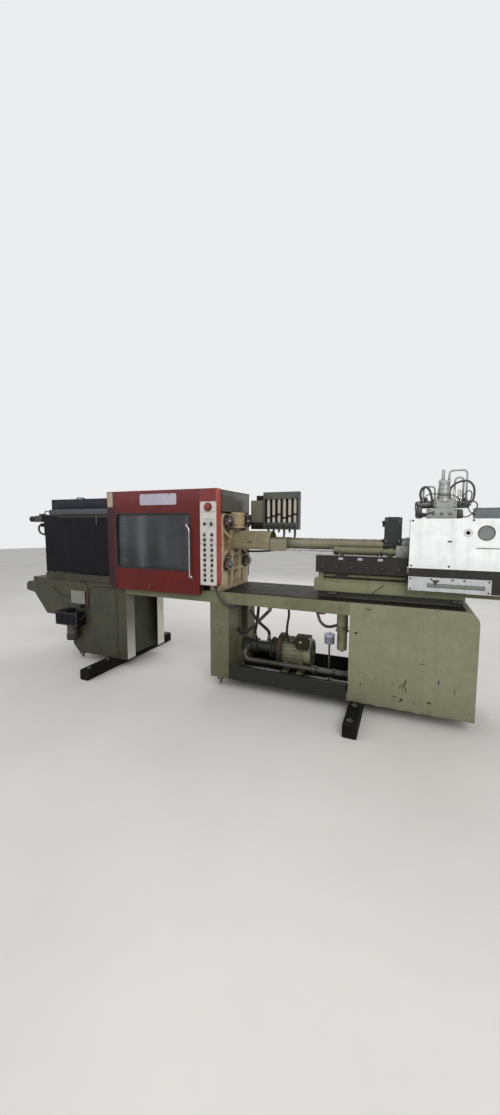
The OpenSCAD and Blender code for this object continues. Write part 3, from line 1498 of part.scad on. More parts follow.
module return_filter() color(olive) {
    x = cabinet_x0 - 98;
    translate([x, 0, 0]) {
        along_z([beam_z - 210, bed_z], 47);
        along_z([beam_z - 216, beam_z - 204], 56);
        along_z([beam_z - 376, beam_z - 216], 42);
        along_z([beam_z - 392, beam_z - 376], 20, $fn = 6);
    }
    span([x - 60, x + 98 - frame_t], [-30, 30], [beam_z - 12, beam_z + 20]);
}

module lubricator() color(dark) {
    y = [-outer_y - 118, -outer_y];
    x = [left_leg_x0 - 112, left_leg_x0 + 192];
    z = belly_z + 70;
    span(x, y, [z - 135, z]);
    span([x[0] + 60, x[0] + 160], y, [z, z + 22]);
    translate([(x[0] + x[1]) / 2 + 20, (y[0] + y[1]) / 2, 0]) {
        along_z([z - 235, z - 135], 52);
        along_z([z - 290, z - 235], 58);
    }
    // Timer plate and pull knob on the side sheet
    span([left_leg_x0 + 3, left_leg_x0 + 203], [-outer_y - 8, -outer_y], [z + 84, z + 211]);
    translate([left_leg_x0 + 170, 0, z + 58]) {
        along_y([-outer_y - 18, -outer_y], 9);
        along_y([-outer_y - 38, -outer_y - 18], 20);
    }
}

// Routes of the hoses and cables, as they run between their ends
drop_x = right_leg_x1 + 192;
web_x = right_leg_x1 - 42;
stage_hose = [[drop_x, -285, beam_z], [drop_x, -285, beam_z - 26],
    [drop_x + 33, -238, beam_z - 114], [stage_x - 16, -185, beam_z - 175],
    [stage_x + 10, -80, motor_z + 190], [stage_x, motor_y, motor_z + outlet_h + 40],
    [stage_x, motor_y, motor_z + outlet_h - 14]];
leg_hose = [[drop_x + 183, -285, beam_z], [drop_x + 183, -285, beam_z - 24],
    [drop_x + 84, -262, beam_z - 126], [drop_x + 6, -232, beam_z - 204],
    [drop_x - 99, -182, beam_z - 284], [drop_x - 162, -128, beam_z - 289],
    [web_x + 36, -85, beam_z - 276], [web_x, -85, beam_z - 276]];
outlet_hose = [[outlet_x + 96, -150, bed_z], [outlet_x + 96, -150, bed_z - 40],
    [outlet_x + 92, -145, beam_z - 50], [outlet_x + 69, -118, beam_z - 178],
    [outlet_x + 20, -40, motor_z + outlet_h + 62], [outlet_x, motor_y, motor_z + outlet_h + 24],
    [outlet_x, motor_y, motor_z + outlet_h]];
cable_y = -platen_y - 49;
panel_cable_route = [[column_x1 - 30, cable_y, bed_z + 59], [column_x1 - 30, cable_y, bed_z + 34],
    [column_x1 - 2, cable_y + 3, bed_z - 41], [right_leg_x1 - 22, cable_y + 7, beam_z - 3],
    [right_leg_x1 + 34, cable_y + 32, beam_z - 30], [right_leg_x1 + 74, cable_y + 72, beam_z - 22],
    [right_leg_x1 + 74, cable_y + 72, beam_z]];

sheet_cable_route = [[bed_x0 + 285, -outer_y, bed_z - 101], [bed_x0 + 285, -outer_y - 12, bed_z - 101],
    [bed_x0 + 330, -outer_y - 13, bed_z - 124], [bed_x0 + 433, -outer_y - 12, bed_z - 176],
    [left_leg_x0 - 60, -outer_y - 8, bed_z - 184], [left_leg_x0 + 3, -outer_y - 6, bed_z - 180]];

function water_route(i, fall) = let (x = regulator_tube_x(i), z = regulator_z - nipple_l,
    y = platen_y - 15, end_z = axis_z - 35 * (i + 1) / 2) [
    [x, regulator_mid, z], [x, regulator_mid, z - 26],
    [x - 34, y - 8, z - fall], [(x + fixed_x1) / 2, y, (z - fall + end_z) / 2 - 20],
    [fixed_x1 + 40, y, end_z], [fixed_x1, y, end_z]
];

module hydraulic_hoses() color(dark) {
    for (route = [stage_hose, leg_hose, outlet_hose]) hose(route, hose_r);
}

module panel_cable() color(dark) {
    hose(panel_cable_route, 8);
    hose(sheet_cable_route, 4);
}

module water_hoses() color(dark) {
    for (i = [1, 3, 5]) hose(water_route(i, 70 + 14 * i), 10);
}

skid_beams();
clamp_bed();
clamp_side_sheets();
right_leg();
bed_frame();
bed_plate();
cabinet();
levelling_feet();
slide_ways();
stationary_platen();
rear_platen();
tie_bars();
clamp_cylinder();
clamp_cover();
door_tracks();
control_column();
control_panel();
top_guard();
guard_pane();
flow_regulator();
carriage_base();
carriage_rod();
motor();
bell_housing();
pump();
tank_piping();
return_filter();
lubricator();
hydraulic_hoses();
panel_cable();
water_hoses();
moving_platen();
clamp_ram();
ejector_plate();
operator_door();
door_window();
door_handle();
rear_door();
barrel();
barrel_jacket();
nozzle_cover();
feed_block();
injection_housing();
carriage_cylinder();
terminal_box();
injection_cover();
position_strip();
valve_stack();
junction_box();
crosshead();
screw();
pump_coupling();
estop_button();
key_switch();
push_button(0);  // push_button_1
push_button(1);  // push_button_2
push_button(2);  // push_button_3
push_button(3);  // push_button_4
push_button(4);  // push_button_5
push_button(5);  // push_button_6
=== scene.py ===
import bpy
import bmesh
import json
import math
import random
from mathutils import Matrix, Vector


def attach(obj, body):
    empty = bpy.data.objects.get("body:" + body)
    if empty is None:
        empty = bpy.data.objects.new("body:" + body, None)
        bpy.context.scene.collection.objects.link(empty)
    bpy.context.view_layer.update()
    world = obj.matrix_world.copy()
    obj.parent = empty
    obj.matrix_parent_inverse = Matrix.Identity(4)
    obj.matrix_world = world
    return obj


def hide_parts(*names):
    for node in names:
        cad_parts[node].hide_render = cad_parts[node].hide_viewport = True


print("loading the machine")
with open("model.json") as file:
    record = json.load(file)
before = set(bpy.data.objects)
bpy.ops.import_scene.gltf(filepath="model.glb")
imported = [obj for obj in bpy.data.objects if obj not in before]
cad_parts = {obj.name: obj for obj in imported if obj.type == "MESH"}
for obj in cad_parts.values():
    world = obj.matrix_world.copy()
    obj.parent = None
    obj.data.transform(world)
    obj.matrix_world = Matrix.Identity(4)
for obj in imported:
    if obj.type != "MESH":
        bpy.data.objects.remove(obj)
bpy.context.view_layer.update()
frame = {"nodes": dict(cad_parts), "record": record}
cad = frame["nodes"]
scene = bpy.context.scene


# node tree helpers: settings or socket values of a node, and the nodes or sockets plugged into it
def fillNode(tree, node, settings=None, links=None):
    for key, value in (settings or {}).items():
        if isinstance(key, str) and hasattr(node, key):
            setattr(node, key, value)
        else:
            node.inputs[key].default_value = value
    for key, source in (links or {}).items():
        tree.links.new(getattr(source, "outputs", [source])[0], node.inputs[key])
    return node


def addNode(tree, kind, settings=None, links=None):
    return fillNode(tree, tree.nodes.new(kind), settings, links)


# each finish made below, by its name
looks = {}


def emptyMaterial(name):
    material = bpy.data.materials.new(name)
    looks[name] = material
    material.use_nodes = True
    tree = material.node_tree
    tree.nodes.clear()
    shader = addNode(tree, "ShaderNodeBsdfPrincipled")
    addNode(tree, "ShaderNodeOutputMaterial", None, {"Surface": shader})
    return tree, shader


def objectPlace(tree):
    return addNode(tree, "ShaderNodeTexCoord").outputs["Object"]


def alongAxis(tree, place, axis):
    return addNode(tree, "ShaderNodeSeparateXYZ", None, {0: place}).outputs[axis]


# 1 in the open, towards 0 in a corner
def openness(tree, reach, samples=6):
    corners = addNode(tree, "ShaderNodeAmbientOcclusion", {"samples": samples, "Distance": reach})
    return corners.outputs["AO"]


def noiseValue(tree, place, scale, detail=4.0, rough=0.55, stretch=None):
    if stretch:
        place = addNode(tree, "ShaderNodeMapping", {"Scale": stretch}, {"Vector": place}).outputs[0]
    return addNode(tree, "ShaderNodeTexNoise", {"Scale": scale, "Detail": detail, "Roughness": rough},
        {"Vector": place}).outputs[0]


def remap(tree, value, low, high, toLow=0.0, toHigh=1.0):
    return addNode(tree, "ShaderNodeMapRange", {1: low, 2: high, 3: toLow, 4: toHigh},
        {0: value}).outputs[0]


# plugs numbers, colours as they are seen or sockets into a node
def plugIn(tree, node, values):
    for index, value in values:
        if isinstance(value, (int, float)):
            node.inputs[index].default_value = value
        elif isinstance(value, tuple):
            node.inputs[index].default_value = (*linear(*value), 1.0)
        else:
            tree.links.new(value, node.inputs[index])


def mathNode(tree, operation, a, b):
    node = addNode(tree, "ShaderNodeMath", {"operation": operation})
    plugIn(tree, node, ((0, a), (1, b)))
    return node.outputs[0]


def mixColour(tree, factor, a, b):
    node = addNode(tree, "ShaderNodeMix", {"data_type": "RGBA"})
    plugIn(tree, node, ((0, factor), (6, a), (7, b)))
    return node.outputs[2]


# a colour as it is seen, 0 to 255, made linear
def linear(r, g, b):
    return tuple(v / 3294.6 if v <= 10.31475 else ((v / 255 + 0.055) / 1.055) ** 2.4 for v in (r, g, b))


def scaled(colour, factor, more=0):
    return tuple(min(255, v * factor + more) for v in colour)


# painted sheet and castings: two close tints, grime and painted shade in the corners, runs of dirt, chips
# and worn edges
paintDefaults = {"worn": (150, 145, 130), "grime": 0.55, "runs": 0.25, "chips": 0.0, "edges": 0.5,
    "rough": (0.38, 0.62), "dents": 0.0, "round": 0.0025, "grain": 0.05, "foot": 0.0, "stain": 0.0,
    "stainTint": (92, 70, 42), "metallic": 0.0, "gloss": 0.35, "fades": ()}


def paint(name, colour, second, dirtAndShade, **settings):
    look = dict(paintDefaults, **settings)
    tree, shader = emptyMaterial(name)
    place = objectPlace(tree)
    bevel = addNode(tree, "ShaderNodeBevel", {"samples": 4, "Radius": look["round"]})
    geometry = addNode(tree, "ShaderNodeNewGeometry")
    broad = noiseValue(tree, place, 2.3, 5.0, 0.6)
    middle = noiseValue(tree, place, 17.0, 6.0, 0.65)
    fine = noiseValue(tree, place, 110.0, 3.0, 0.6)
    tint = mixColour(tree, remap(tree, broad, 0.36, 0.64), colour, second)
    tint = mixColour(tree, remap(tree, middle, 0.42, 0.7, 0.0, 0.35), tint, scaled(colour, 0.78))
    # darker in corners and creases by ambient occlusion: grime and painted shade, mixed towards the dirt
    # colour
    grime = mathNode(tree, "MULTIPLY", remap(tree, openness(tree, 0.09), 0.92, 0.35, 0.0, look["grime"]),
        remap(tree, middle, 0.3, 0.6, 0.35, 1.0))
    tint = mixColour(tree, grime, tint, dirtAndShade)
    if look["runs"]:
        runs = noiseValue(tree, place, 3.0, 6.0, 0.62, (7.0, 7.0, 0.42))
        tint = mixColour(tree, remap(tree, runs, 0.53, 0.74, 0.0, look["runs"]), tint, dirtAndShade)
    if look["foot"]:
        low = mathNode(tree, "MULTIPLY", remap(tree, alongAxis(tree, place, 2), 0.42, 0.1, 0.0,
            look["foot"]), remap(tree, noiseValue(tree, place, 6.0, 5.0), 0.35, 0.6, 0.2, 1.0))
        tint = mixColour(tree, low, tint, dirtAndShade)
    if look["stain"]:
        spots = mathNode(tree, "MULTIPLY", remap(tree, noiseValue(tree, place, 4.1, 7.0, 0.7), 0.5, 0.62),
            remap(tree, fine, 0.3, 0.6, 0.4, 1.0))
        spots = mathNode(tree, "MULTIPLY", spots, look["stain"])
        tint = mixColour(tree, spots, tint, look["stainTint"])
    # fades: colour shifts along one axis; some are painted light and shade, noted at the looks that use
    # them
    for axis, start, stop, amount, colourThere in look["fades"]:
        sway = mathNode(tree, "MULTIPLY", mathNode(tree, "SUBTRACT", middle, 0.5), 0.03)
        ragged = mathNode(tree, "ADD", alongAxis(tree, place, axis), sway)
        tint = mixColour(tree, remap(tree, ragged, start, stop, 0.0, amount), tint, colourThere)
    if look["chips"]:
        chips = remap(tree, noiseValue(tree, place, 26.0, 4.0, 0.5), 0.69, 0.7, 0.0, look["chips"])
        tint = mixColour(tree, chips, tint, dirtAndShade)
    if look["edges"]:
        dot = addNode(tree, "ShaderNodeVectorMath", {"operation": "DOT_PRODUCT"},
            {0: bevel, 1: geometry.outputs["Normal"]}).outputs["Value"]
        rubbed = mathNode(tree, "MULTIPLY", remap(tree, dot, 0.985, 0.8, 0.0, look["edges"]),
            remap(tree, noiseValue(tree, place, 34.0, 5.0, 0.7), 0.42, 0.6))
        tint = mixColour(tree, rubbed, tint, look["worn"])
    last = addNode(tree, "ShaderNodeBump", {"Strength": look["grain"] * 4, "Distance": 0.0006},
        {"Height": fine, "Normal": bevel})
    if look["dents"]:
        dents = noiseValue(tree, place, 5.5, 2.0, 0.4)
        last = addNode(tree, "ShaderNodeBump", {"Strength": 0.9, "Distance": look["dents"]},
            {"Height": dents, "Normal": last})
    fillNode(tree, shader, {"Metallic": look["metallic"], "Specular IOR Level": look["gloss"]},
        {"Base Color": tint, "Roughness": remap(tree, middle, 0.3, 0.7, *look["rough"]), "Normal": last})


def metal(name, colour, rough=(0.22, 0.42), grime=0.5, brush=(1.0, 1.0, 1.0), rust=0.0, edge=0.0015,
        oil=0.0):
    tree, shader = emptyMaterial(name)
    place = objectPlace(tree)
    bevel = addNode(tree, "ShaderNodeBevel", {"samples": 4, "Radius": edge})
    lines = noiseValue(tree, place, 90.0, 4.0, 0.6, brush)
    broad = noiseValue(tree, place, 7.0, 5.0, 0.6)
    tint = mixColour(tree, remap(tree, broad, 0.35, 0.65), colour, scaled(colour, 0.8))
    # darker in corners by ambient occlusion: grime and painted shade
    tint = mixColour(tree, remap(tree, openness(tree, 0.05), 0.9, 0.3, 0.0, grime), tint, (28, 26, 22))
    if rust:
        tint = mixColour(tree, remap(tree, noiseValue(tree, place, 19.0, 7.0, 0.7), 0.5, 0.68, 0.0, rust),
            tint, (96, 62, 36))
    if oil:
        tint = mixColour(tree, remap(tree, noiseValue(tree, place, 5.0, 4.0, 0.6), 0.45, 0.6, 0.0, oil),
            tint, (42, 36, 24))
    bump = addNode(tree, "ShaderNodeBump", {"Strength": 0.12, "Distance": 0.0004},
        {"Height": lines, "Normal": bevel})
    fillNode(tree, shader, {"Metallic": 1.0}, {"Base Color": tint,
        "Roughness": remap(tree, lines, 0.3, 0.7, *rough), "Normal": bump})


def plastic(name, colour, rough=(0.35, 0.55), dust=0.25, grain=0.3, scale=240.0):
    tree, shader = emptyMaterial(name)
    place = objectPlace(tree)
    fine = noiseValue(tree, place, scale, 3.0, 0.6)
    broad = noiseValue(tree, place, 9.0, 5.0, 0.6)
    tint = mixColour(tree, remap(tree, broad, 0.4, 0.7, 0.0, dust), colour, (112, 108, 98))
    # darker in corners by ambient occlusion: painted shade and grime
    tint = mixColour(tree, remap(tree, openness(tree, 0.03, 4), 0.9, 0.3, 0.0, 0.5), tint,
        scaled(colour, 0.45))
    bump = addNode(tree, "ShaderNodeBump", {"Strength": grain, "Distance": 0.0003}, {"Height": fine})
    fillNode(tree, shader, None, {"Base Color": tint, "Roughness": remap(tree, broad, 0.3, 0.7, *rough),
        "Normal": bump})


# a dirty see-through pane: clear sheet under a patchy film, with painted highlights
# in upright bands, paler and less clear, each with its place, half width and amount
def glazing(name, colour, rough=0.12, smear=0.35, clear=0.8, highlightBands=()):
    tree, shader = emptyMaterial(name)
    place = objectPlace(tree)
    filmAndHighlight = noiseValue(tree, place, 3.2, 6.0, 0.65)
    wipes = noiseValue(tree, place, 6.0, 4.0, 0.6, (1.0, 1.0, 0.25))
    cover = mathNode(tree, "MULTIPLY", remap(tree, filmAndHighlight, 0.3, 0.7, 0.25, 1.0),
        remap(tree, wipes, 0.35, 0.65, 0.5, 1.0))
    tint = mixColour(tree, cover, colour, scaled(colour, 1.25, 12))
    for middle, half, amount in highlightBands:
        off = mathNode(tree, "ABSOLUTE", mathNode(tree, "SUBTRACT", alongAxis(tree, place, 0), middle), 0.0)
        filmAndHighlight = mathNode(tree, "MULTIPLY", remap(tree, off, half, half * 0.15, 0.0, amount),
            remap(tree, wipes, 0.3, 0.7, 0.7, 1.0))
        tint = mixColour(tree, filmAndHighlight, tint, scaled(colour, 2.1))
        cover = mathNode(tree, "MAXIMUM", cover, filmAndHighlight)
    clearness = remap(tree, cover, 0.0, 1.0, clear, clear - smear)
    fillNode(tree, shader, {"Roughness": rough, "IOR": 1.46},
        {"Base Color": tint, "Transmission Weight": clearness})


print("mixing the finishes")
paint("basePaint", (113, 115, 88), (103, 105, 80), (52, 48, 38), runs=0.28, chips=0.5, dents=0.006,
    stain=0.18, worn=(150, 146, 126))
paint("cabinetPaint", (128, 128, 103), (120, 120, 96), (56, 52, 42), runs=0.12, chips=0.6, dents=0.012,
    stain=0.1, worn=(160, 156, 136), fades=((2, 0.3, 0.12, 0.28, (84, 82, 66)),))
# a darker copy of the base paint for the right leg: painted shade
paint("legPaint", (101, 101, 77), (92, 93, 70), (48, 44, 36), runs=0.25, chips=0.7, dents=0.005, foot=0.35,
    stain=0.15, worn=(140, 136, 116))
paint("framePaint", (111, 113, 86), (101, 103, 78), (40, 38, 32), runs=0.3, chips=0.4, stain=0.2,
    worn=(146, 142, 122), fades=((2, 0.42, 0.32, 0.95, (13, 14, 11)),))
# flange plates paler than the leg they sit on, and paler towards the bottom: painted light on the flanges
paint("flangePaint", (122, 121, 107), (110, 109, 96), (60, 54, 44), runs=0.35, stain=0.2,
    fades=((2, 0.55, 0.15, 0.75, (192, 189, 178)),), worn=(176, 172, 160))
# the rear flange near white: painted light
paint("flangePale", (226, 222, 212), (212, 208, 196), (110, 102, 88), runs=0.25, stain=0.15)
paint("shadedPaint", (68, 69, 58), (60, 62, 52), (34, 32, 27), runs=0.45, chips=0.35, foot=0.5, stain=0.28,
    dents=0.004, worn=(108, 106, 92), gloss=0.25)
paint("trackPaint", (56, 57, 48), (48, 50, 43), (30, 28, 24), runs=0.3, stain=0.3, gloss=0.25)
paint("carriagePaint", (121, 124, 94), (108, 112, 84), (46, 44, 34), runs=0.2, chips=0.3, stain=0.3,
    worn=(150, 146, 122), fades=((2, 0.945, 0.925, 0.92, (36, 36, 33)),))
paint("blackPaint", (19, 19, 24), (15, 15, 19), (46, 45, 45), runs=0.14, grime=0.1, rough=(0.42, 0.62),
    worn=(70, 70, 76), edges=0.4, dents=0.004, gloss=0.12)
paint("boxPaint", (40, 40, 52), (34, 34, 45), (30, 30, 34), runs=0.12, gloss=0.15, worn=(80, 80, 90))
paint("darkPaint", (44, 42, 40), (36, 35, 33), (70, 66, 60), runs=0.2, grime=0.2, stain=0.3,
    stainTint=(24, 22, 20), gloss=0.25, worn=(92, 90, 86))
paint("platenPaint", (206, 188, 152), (178, 158, 124), (62, 48, 32), runs=0.5, chips=0.7, stain=0.75,
    stainTint=(96, 72, 46), grain=0.12, rough=(0.45, 0.75))
# lighter and warmer past x 0.012, on the column's return: a painted highlight where light falls on that
# side
paint("columnPaint", (116, 38, 38), (104, 34, 34), (52, 32, 28), runs=0.15,
    fades=((0, 0.012, 0.018, 0.85, (170, 80, 64)),), worn=(196, 108, 92), rough=(0.3, 0.5))
# darker towards the door's left end: painted shade; paler and pinker along its top: painted glare
paint("doorPaint", (98, 25, 23), (86, 25, 23), (40, 24, 22), runs=0.3, chips=0.3,
    fades=((0, -1.02, -1.13, 0.85, (38, 27, 34)), (2, 1.6, 1.76, 0.45, (118, 58, 68))), gloss=0.2,
    stain=0.3, stainTint=(62, 32, 26), worn=(166, 90, 76), dents=0.003, rough=(0.3, 0.55))
paint("panelPaint", (197, 192, 186), (190, 185, 178), (110, 106, 98), runs=0.12, grime=0.4, edges=0.3,
    worn=(150, 146, 138), rough=(0.3, 0.45))
paint("coverPaint", (240, 243, 242), (232, 236, 235), (120, 118, 112), runs=0.14,
    fades=((2, 1.255, 1.175, 0.6, (208, 213, 212)),), chips=0.25, grime=0.3, edges=0.35,
    worn=(170, 166, 158), dents=0.003, rough=(0.28, 0.45))
paint("jacketSheet", (132, 128, 107), (118, 114, 94), (82, 72, 52), runs=0.3,
    fades=((2, 1.33, 1.348, 0.85, (76, 71, 54)),), stain=0.35, stainTint=(116, 98, 66), rough=(0.32, 0.55),
    worn=(176, 170, 150), metallic=0.15)
paint("slatePaint", (38, 45, 45), (32, 38, 38), (30, 30, 28), worn=(98, 102, 98), stain=0.25,
    stainTint=(34, 32, 26))
paint("bellPaint", (43, 38, 29), (35, 31, 24), (34, 30, 24), stain=0.6, grain=0.15, rough=(0.5, 0.8),
    worn=(122, 108, 86))
paint("skidPaint", (20, 19, 18), (15, 15, 14), (40, 38, 34), runs=0.1, stain=0.3, gloss=0.1,
    stainTint=(42, 39, 34), rough=(0.6, 0.85), grain=0.2)
metal("bareSteel", (140, 140, 136), grime=0.7, rust=0.18, oil=0.3)
metal("chromeRod", (196, 196, 196), rough=(0.12, 0.26), grime=0.6, oil=0.35, brush=(0.04, 1.0, 1.0))
metal("aluminium", (150, 153, 146), rough=(0.35, 0.5), grime=0.6)
metal("brass", (150, 122, 72), rough=(0.28, 0.45), grime=0.6)
metal("copperPipe", (74, 64, 52), rough=(0.45, 0.65), grime=0.6)
metal("cleanRod", (222, 222, 222), rough=(0.1, 0.2), grime=0.15, brush=(0.04, 1.0, 1.0))
plastic("hoseRubber", (36, 35, 34), rough=(0.45, 0.7), dust=0.3)
plastic("sealRubber", (20, 18, 20), rough=(0.6, 0.8), dust=0.08)
plastic("cableRubber", (30, 30, 31), rough=(0.4, 0.6), dust=0.2)
plastic("capBlack", (32, 32, 34), rough=(0.3, 0.45), dust=0.12)
plastic("capRed", (122, 22, 24), rough=(0.3, 0.45), dust=0.1)
plastic("paleTube", (196, 194, 184), rough=(0.35, 0.5), dust=0.3)
metal("brightBar", (214, 210, 208), rough=(0.18, 0.34), grime=0.35)
paint("agedRed", (104, 36, 34), (88, 34, 32), (44, 30, 28), edges=0.3, rough=(0.3, 0.5))
paint("greyTag", (176, 180, 180), (164, 168, 170), (120, 118, 112), runs=0.0, edges=0.1, grime=0.2,
    rough=(0.4, 0.55))
paint("timerGrey", (128, 130, 122), (116, 118, 110), (70, 66, 58), runs=0.25, edges=0.3, rough=(0.35, 0.55))
paint("shoulderGrey", (68, 69, 80), (58, 59, 69), (48, 46, 46), runs=0.2, grime=0.2, edges=0.4,
    worn=(120, 120, 126), rough=(0.35, 0.5))
paint("nozzlePaint", (137, 132, 101), (122, 117, 90), (70, 60, 42), runs=0.35, stain=0.35,
    stainTint=(92, 76, 50), rough=(0.4, 0.6), worn=(160, 154, 132))
paint("motorPaint", (128, 127, 101), (114, 113, 90), (34, 32, 26), runs=0.2, stain=0.45,
    stainTint=(50, 44, 32), worn=(120, 116, 98))
paint("pumpPaint", (50, 50, 40), (42, 42, 33), (22, 20, 18), stain=0.5, stainTint=(18, 16, 14),
    worn=(84, 82, 74), gloss=0.4)
paint("oilySteel", (92, 90, 82), (66, 64, 58), (26, 24, 21), stain=0.55, runs=0.3, stainTint=(28, 26, 22),
    rough=(0.3, 0.55), metallic=0.3, gloss=0.4)
paint("bareScuff", (44, 42, 36), (62, 56, 44), (30, 28, 24), stain=0.4, runs=0.0, gloss=0.3,
    rough=(0.5, 0.7))
plastic("milkyBowl", (60, 58, 54), rough=(0.4, 0.6), dust=0.12)
plastic("cupBrown", (44, 38, 36), rough=(0.4, 0.6), dust=0.1)
plastic("flowGlass", (188, 180, 167), rough=(0.15, 0.3), dust=0.3)
paint("backing", (44, 38, 30), (36, 32, 26), (26, 24, 20), runs=0.3, gloss=0.15, edges=0.2)
paint("fittingOlive", (122, 119, 101), (108, 106, 90), (56, 52, 42), runs=0.4, stain=0.3)
paint("filterPaint", (166, 169, 136), (152, 155, 124), (44, 42, 34), runs=0.25, stain=0.3)
paint("platePaint", (36, 34, 27), (30, 28, 22), (26, 25, 22), runs=0.0, stain=0.4, stainTint=(54, 52, 46),
    gloss=0.08, rough=(0.55, 0.8), worn=(110, 108, 100))
paint("bezelGrey", (206, 209, 207), (196, 199, 197), (110, 108, 102), runs=0.0, edges=0.3)
paint("neckPaint", (168, 171, 160), (154, 157, 146), (46, 44, 38), runs=0.2, stain=0.25)
metal("paleAlloy", (206, 206, 202), rough=(0.25, 0.4), grime=0.35)
paint("capPaleBlue", (178, 180, 202), (160, 162, 184), (70, 68, 72), stain=0.2, runs=0.15,
    rough=(0.25, 0.45))
paint("boxBrown", (50, 46, 34), (43, 39, 29), (26, 24, 19), stain=0.3, gloss=0.08, rough=(0.6, 0.8),
    worn=(88, 84, 68))
paint("castAlloy", (166, 168, 165), (146, 148, 146), (58, 56, 50), grime=0.7, runs=0.15, stain=0.15,
    metallic=0.35, rough=(0.35, 0.5), worn=(190, 190, 186))
paint("frameGrey", (84, 86, 79), (74, 76, 70), (40, 38, 34), runs=0.2, worn=(120, 120, 112))
paint("tealGrey", (112, 119, 119), (100, 108, 108), (56, 56, 54), runs=0.2, worn=(150, 154, 152))
paint("stripPaint", (189, 192, 194), (176, 179, 180), (96, 88, 78), runs=0.2, stain=0.45,
    stainTint=(136, 120, 100), edges=0.4, grime=0.3, worn=(130, 122, 112))
paint("scaleGrey", (128, 131, 126), (112, 115, 110), (60, 58, 54), runs=0.2, grain=0.1)
paint("meshGrey", (172, 177, 175), (156, 162, 160), (76, 74, 70), grime=0.3, runs=0.15, grain=0.25)
metal("wireGrey", (176, 180, 178), rough=(0.3, 0.5), grime=0.3)
paint("barePlate", (176, 170, 182), (160, 154, 168), (120, 112, 112), runs=0.1, edges=0.2, grime=0.3,
    rough=(0.25, 0.4))
paint("fadedPlate", (166, 152, 132), (146, 130, 116), (96, 74, 64), runs=0.3, edges=0.2, rough=(0.4, 0.6))
# the upright bands on the operator door's pane are painted highlights
glazing("windowPane", (66, 69, 74), rough=0.14, smear=0.4, clear=0.86,
    highlightBands=((-0.785, 0.085, 0.62), (-0.985, 0.055, 0.22), (-0.285, 0.035, 0.28)))
glazing("hazyPane", (92, 87, 80), rough=0.28, smear=0.35, clear=0.62)
glazing("oilGlass", (196, 186, 150), rough=0.08, smear=0.3, clear=0.85)

# the looks that go into each slot, its own finish first
looksOf = {"skid_paint": "skidPaint backing bareScuff",
    "base_paint": "basePaint legPaint framePaint cabinetPaint motorPaint",
    "shaded_paint": "shadedPaint timerGrey flangePaint flangePale fittingOlive tealGrey",
    "black_paint": "blackPaint shoulderGrey boxPaint darkPaint", "column_paint": "columnPaint",
    "bare_steel": "bareSteel brightBar copperPipe brass wireGrey oilySteel paleAlloy",
    "platen_paint": "platenPaint", "chrome_rod": "chromeRod", "panel_paint": "panelPaint",
    "pane": "windowPane", "bell_paint": "bellPaint",
    "aluminium": "aluminium scaleGrey castAlloy capPaleBlue frameGrey",
    "carriage_paint": "carriagePaint neckPaint", "slate_paint": "slatePaint pumpPaint boxBrown",
    "hose_rubber": "hoseRubber", "door_paint": "doorPaint",
    "cable_rubber": "cableRubber sealRubber paleTube", "jacket": "jacketSheet", "cap_red": "capRed agedRed",
    "cover_paint": "coverPaint bezelGrey meshGrey", "cap_black": "capBlack milkyBowl cupBrown"}
# nodes that differ from their slot's finish
ownFinish = {"guard_pane": "hazyPane", "bed_plate": "platePaint", "carriage_rod": "cleanRod",
    "position_strip": "stripPaint", "cabinet": "cabinetPaint", "right_leg": "legPaint",
    "bed_frame": "framePaint", "door_tracks": "trackPaint", "lubricator": "blackPaint",
    "nozzle_cover": "nozzlePaint", "motor": "motorPaint", "pump": "pumpPaint", "tank_piping": "oilySteel",
    "return_filter": "filterPaint", "valve_stack": "castAlloy", "flow_regulator": "frameGrey",
    "junction_box": "tealGrey", "terminal_box": "darkPaint", "injection_housing": "darkPaint"}
for part in frame["record"]["subparts"]:
    painted = cad[part["node"]].data.materials
    painted.clear()
    painted.append(looks[ownFinish.get(part["node"]) or looksOf[part["material_slot"]].split()[0]])


# mesh helpers, all in metres in the machine's frame

# what the add helpers draw into, until makePiece takes it
bm = bmesh.new()


def addBlock(low, high, soft=0.0):
    made = bmesh.ops.create_cube(bm, size=1.0)["verts"]
    for v in made:
        v.co = Vector([(low[i] + high[i]) / 2 + v.co[i] * (high[i] - low[i]) for i in range(3)])
    if soft:
        edges = list({e for v in made for e in v.link_edges})
        bmesh.ops.bevel(bm, geom=edges, offset=soft, segments=2, affect="EDGES", profile=0.6)


# a block and its twin on the other side of the machine
def addTwins(low, high, soft):
    addBlock(low, high, soft)
    addBlock((low[0], -high[1], low[2]), (high[0], -low[1], high[2]), soft)


def bridge(loops):
    for one, two in zip(loops, loops[1:]):
        for i in range(len(one)):
            j = (i + 1) % len(one)
            bm.faces.new((one[i], one[j], two[j], two[i]))


# skins rings of points and closes both ends
def addRings(rings):
    made = [[bm.verts.new(p) for p in ring] for ring in rings]
    bridge(made)
    bm.faces.new(reversed(made[0]))
    bm.faces.new(made[-1])


# profile is a list of (distance along way, radius)
def addTurned(at, way, profile, sides=12):
    turn = Vector(way).normalized().to_track_quat("Z", "Y").to_matrix()
    addRings([[Vector(at) + turn @ Vector((*p, d)) for p in circle((0, 0), r, sides)] for d, r in profile])


# the profile of a nut or cap on a thinner stem
def plug(radius, height, stem, length, tip=None, step=0.001):
    return [(0, radius), (height, radius), (height + step, stem), (length, tip or stem)]


def smoothRoute(points, steps=6):
    points = [Vector(p) for p in points]
    made = []
    for i in range(len(points) - 1):
        a, b, c, d = (points[max(0, min(len(points) - 1, i + k))] for k in (-1, 0, 1, 2))
        for j in range(steps):
            t = j / steps
            made.append(0.5 * (2 * b + (c - a) * t + (2 * a - 5 * b + 4 * c - d) * t * t
                + (3 * b - a - 3 * c + d) * t ** 3))
    return made + [points[-1]]


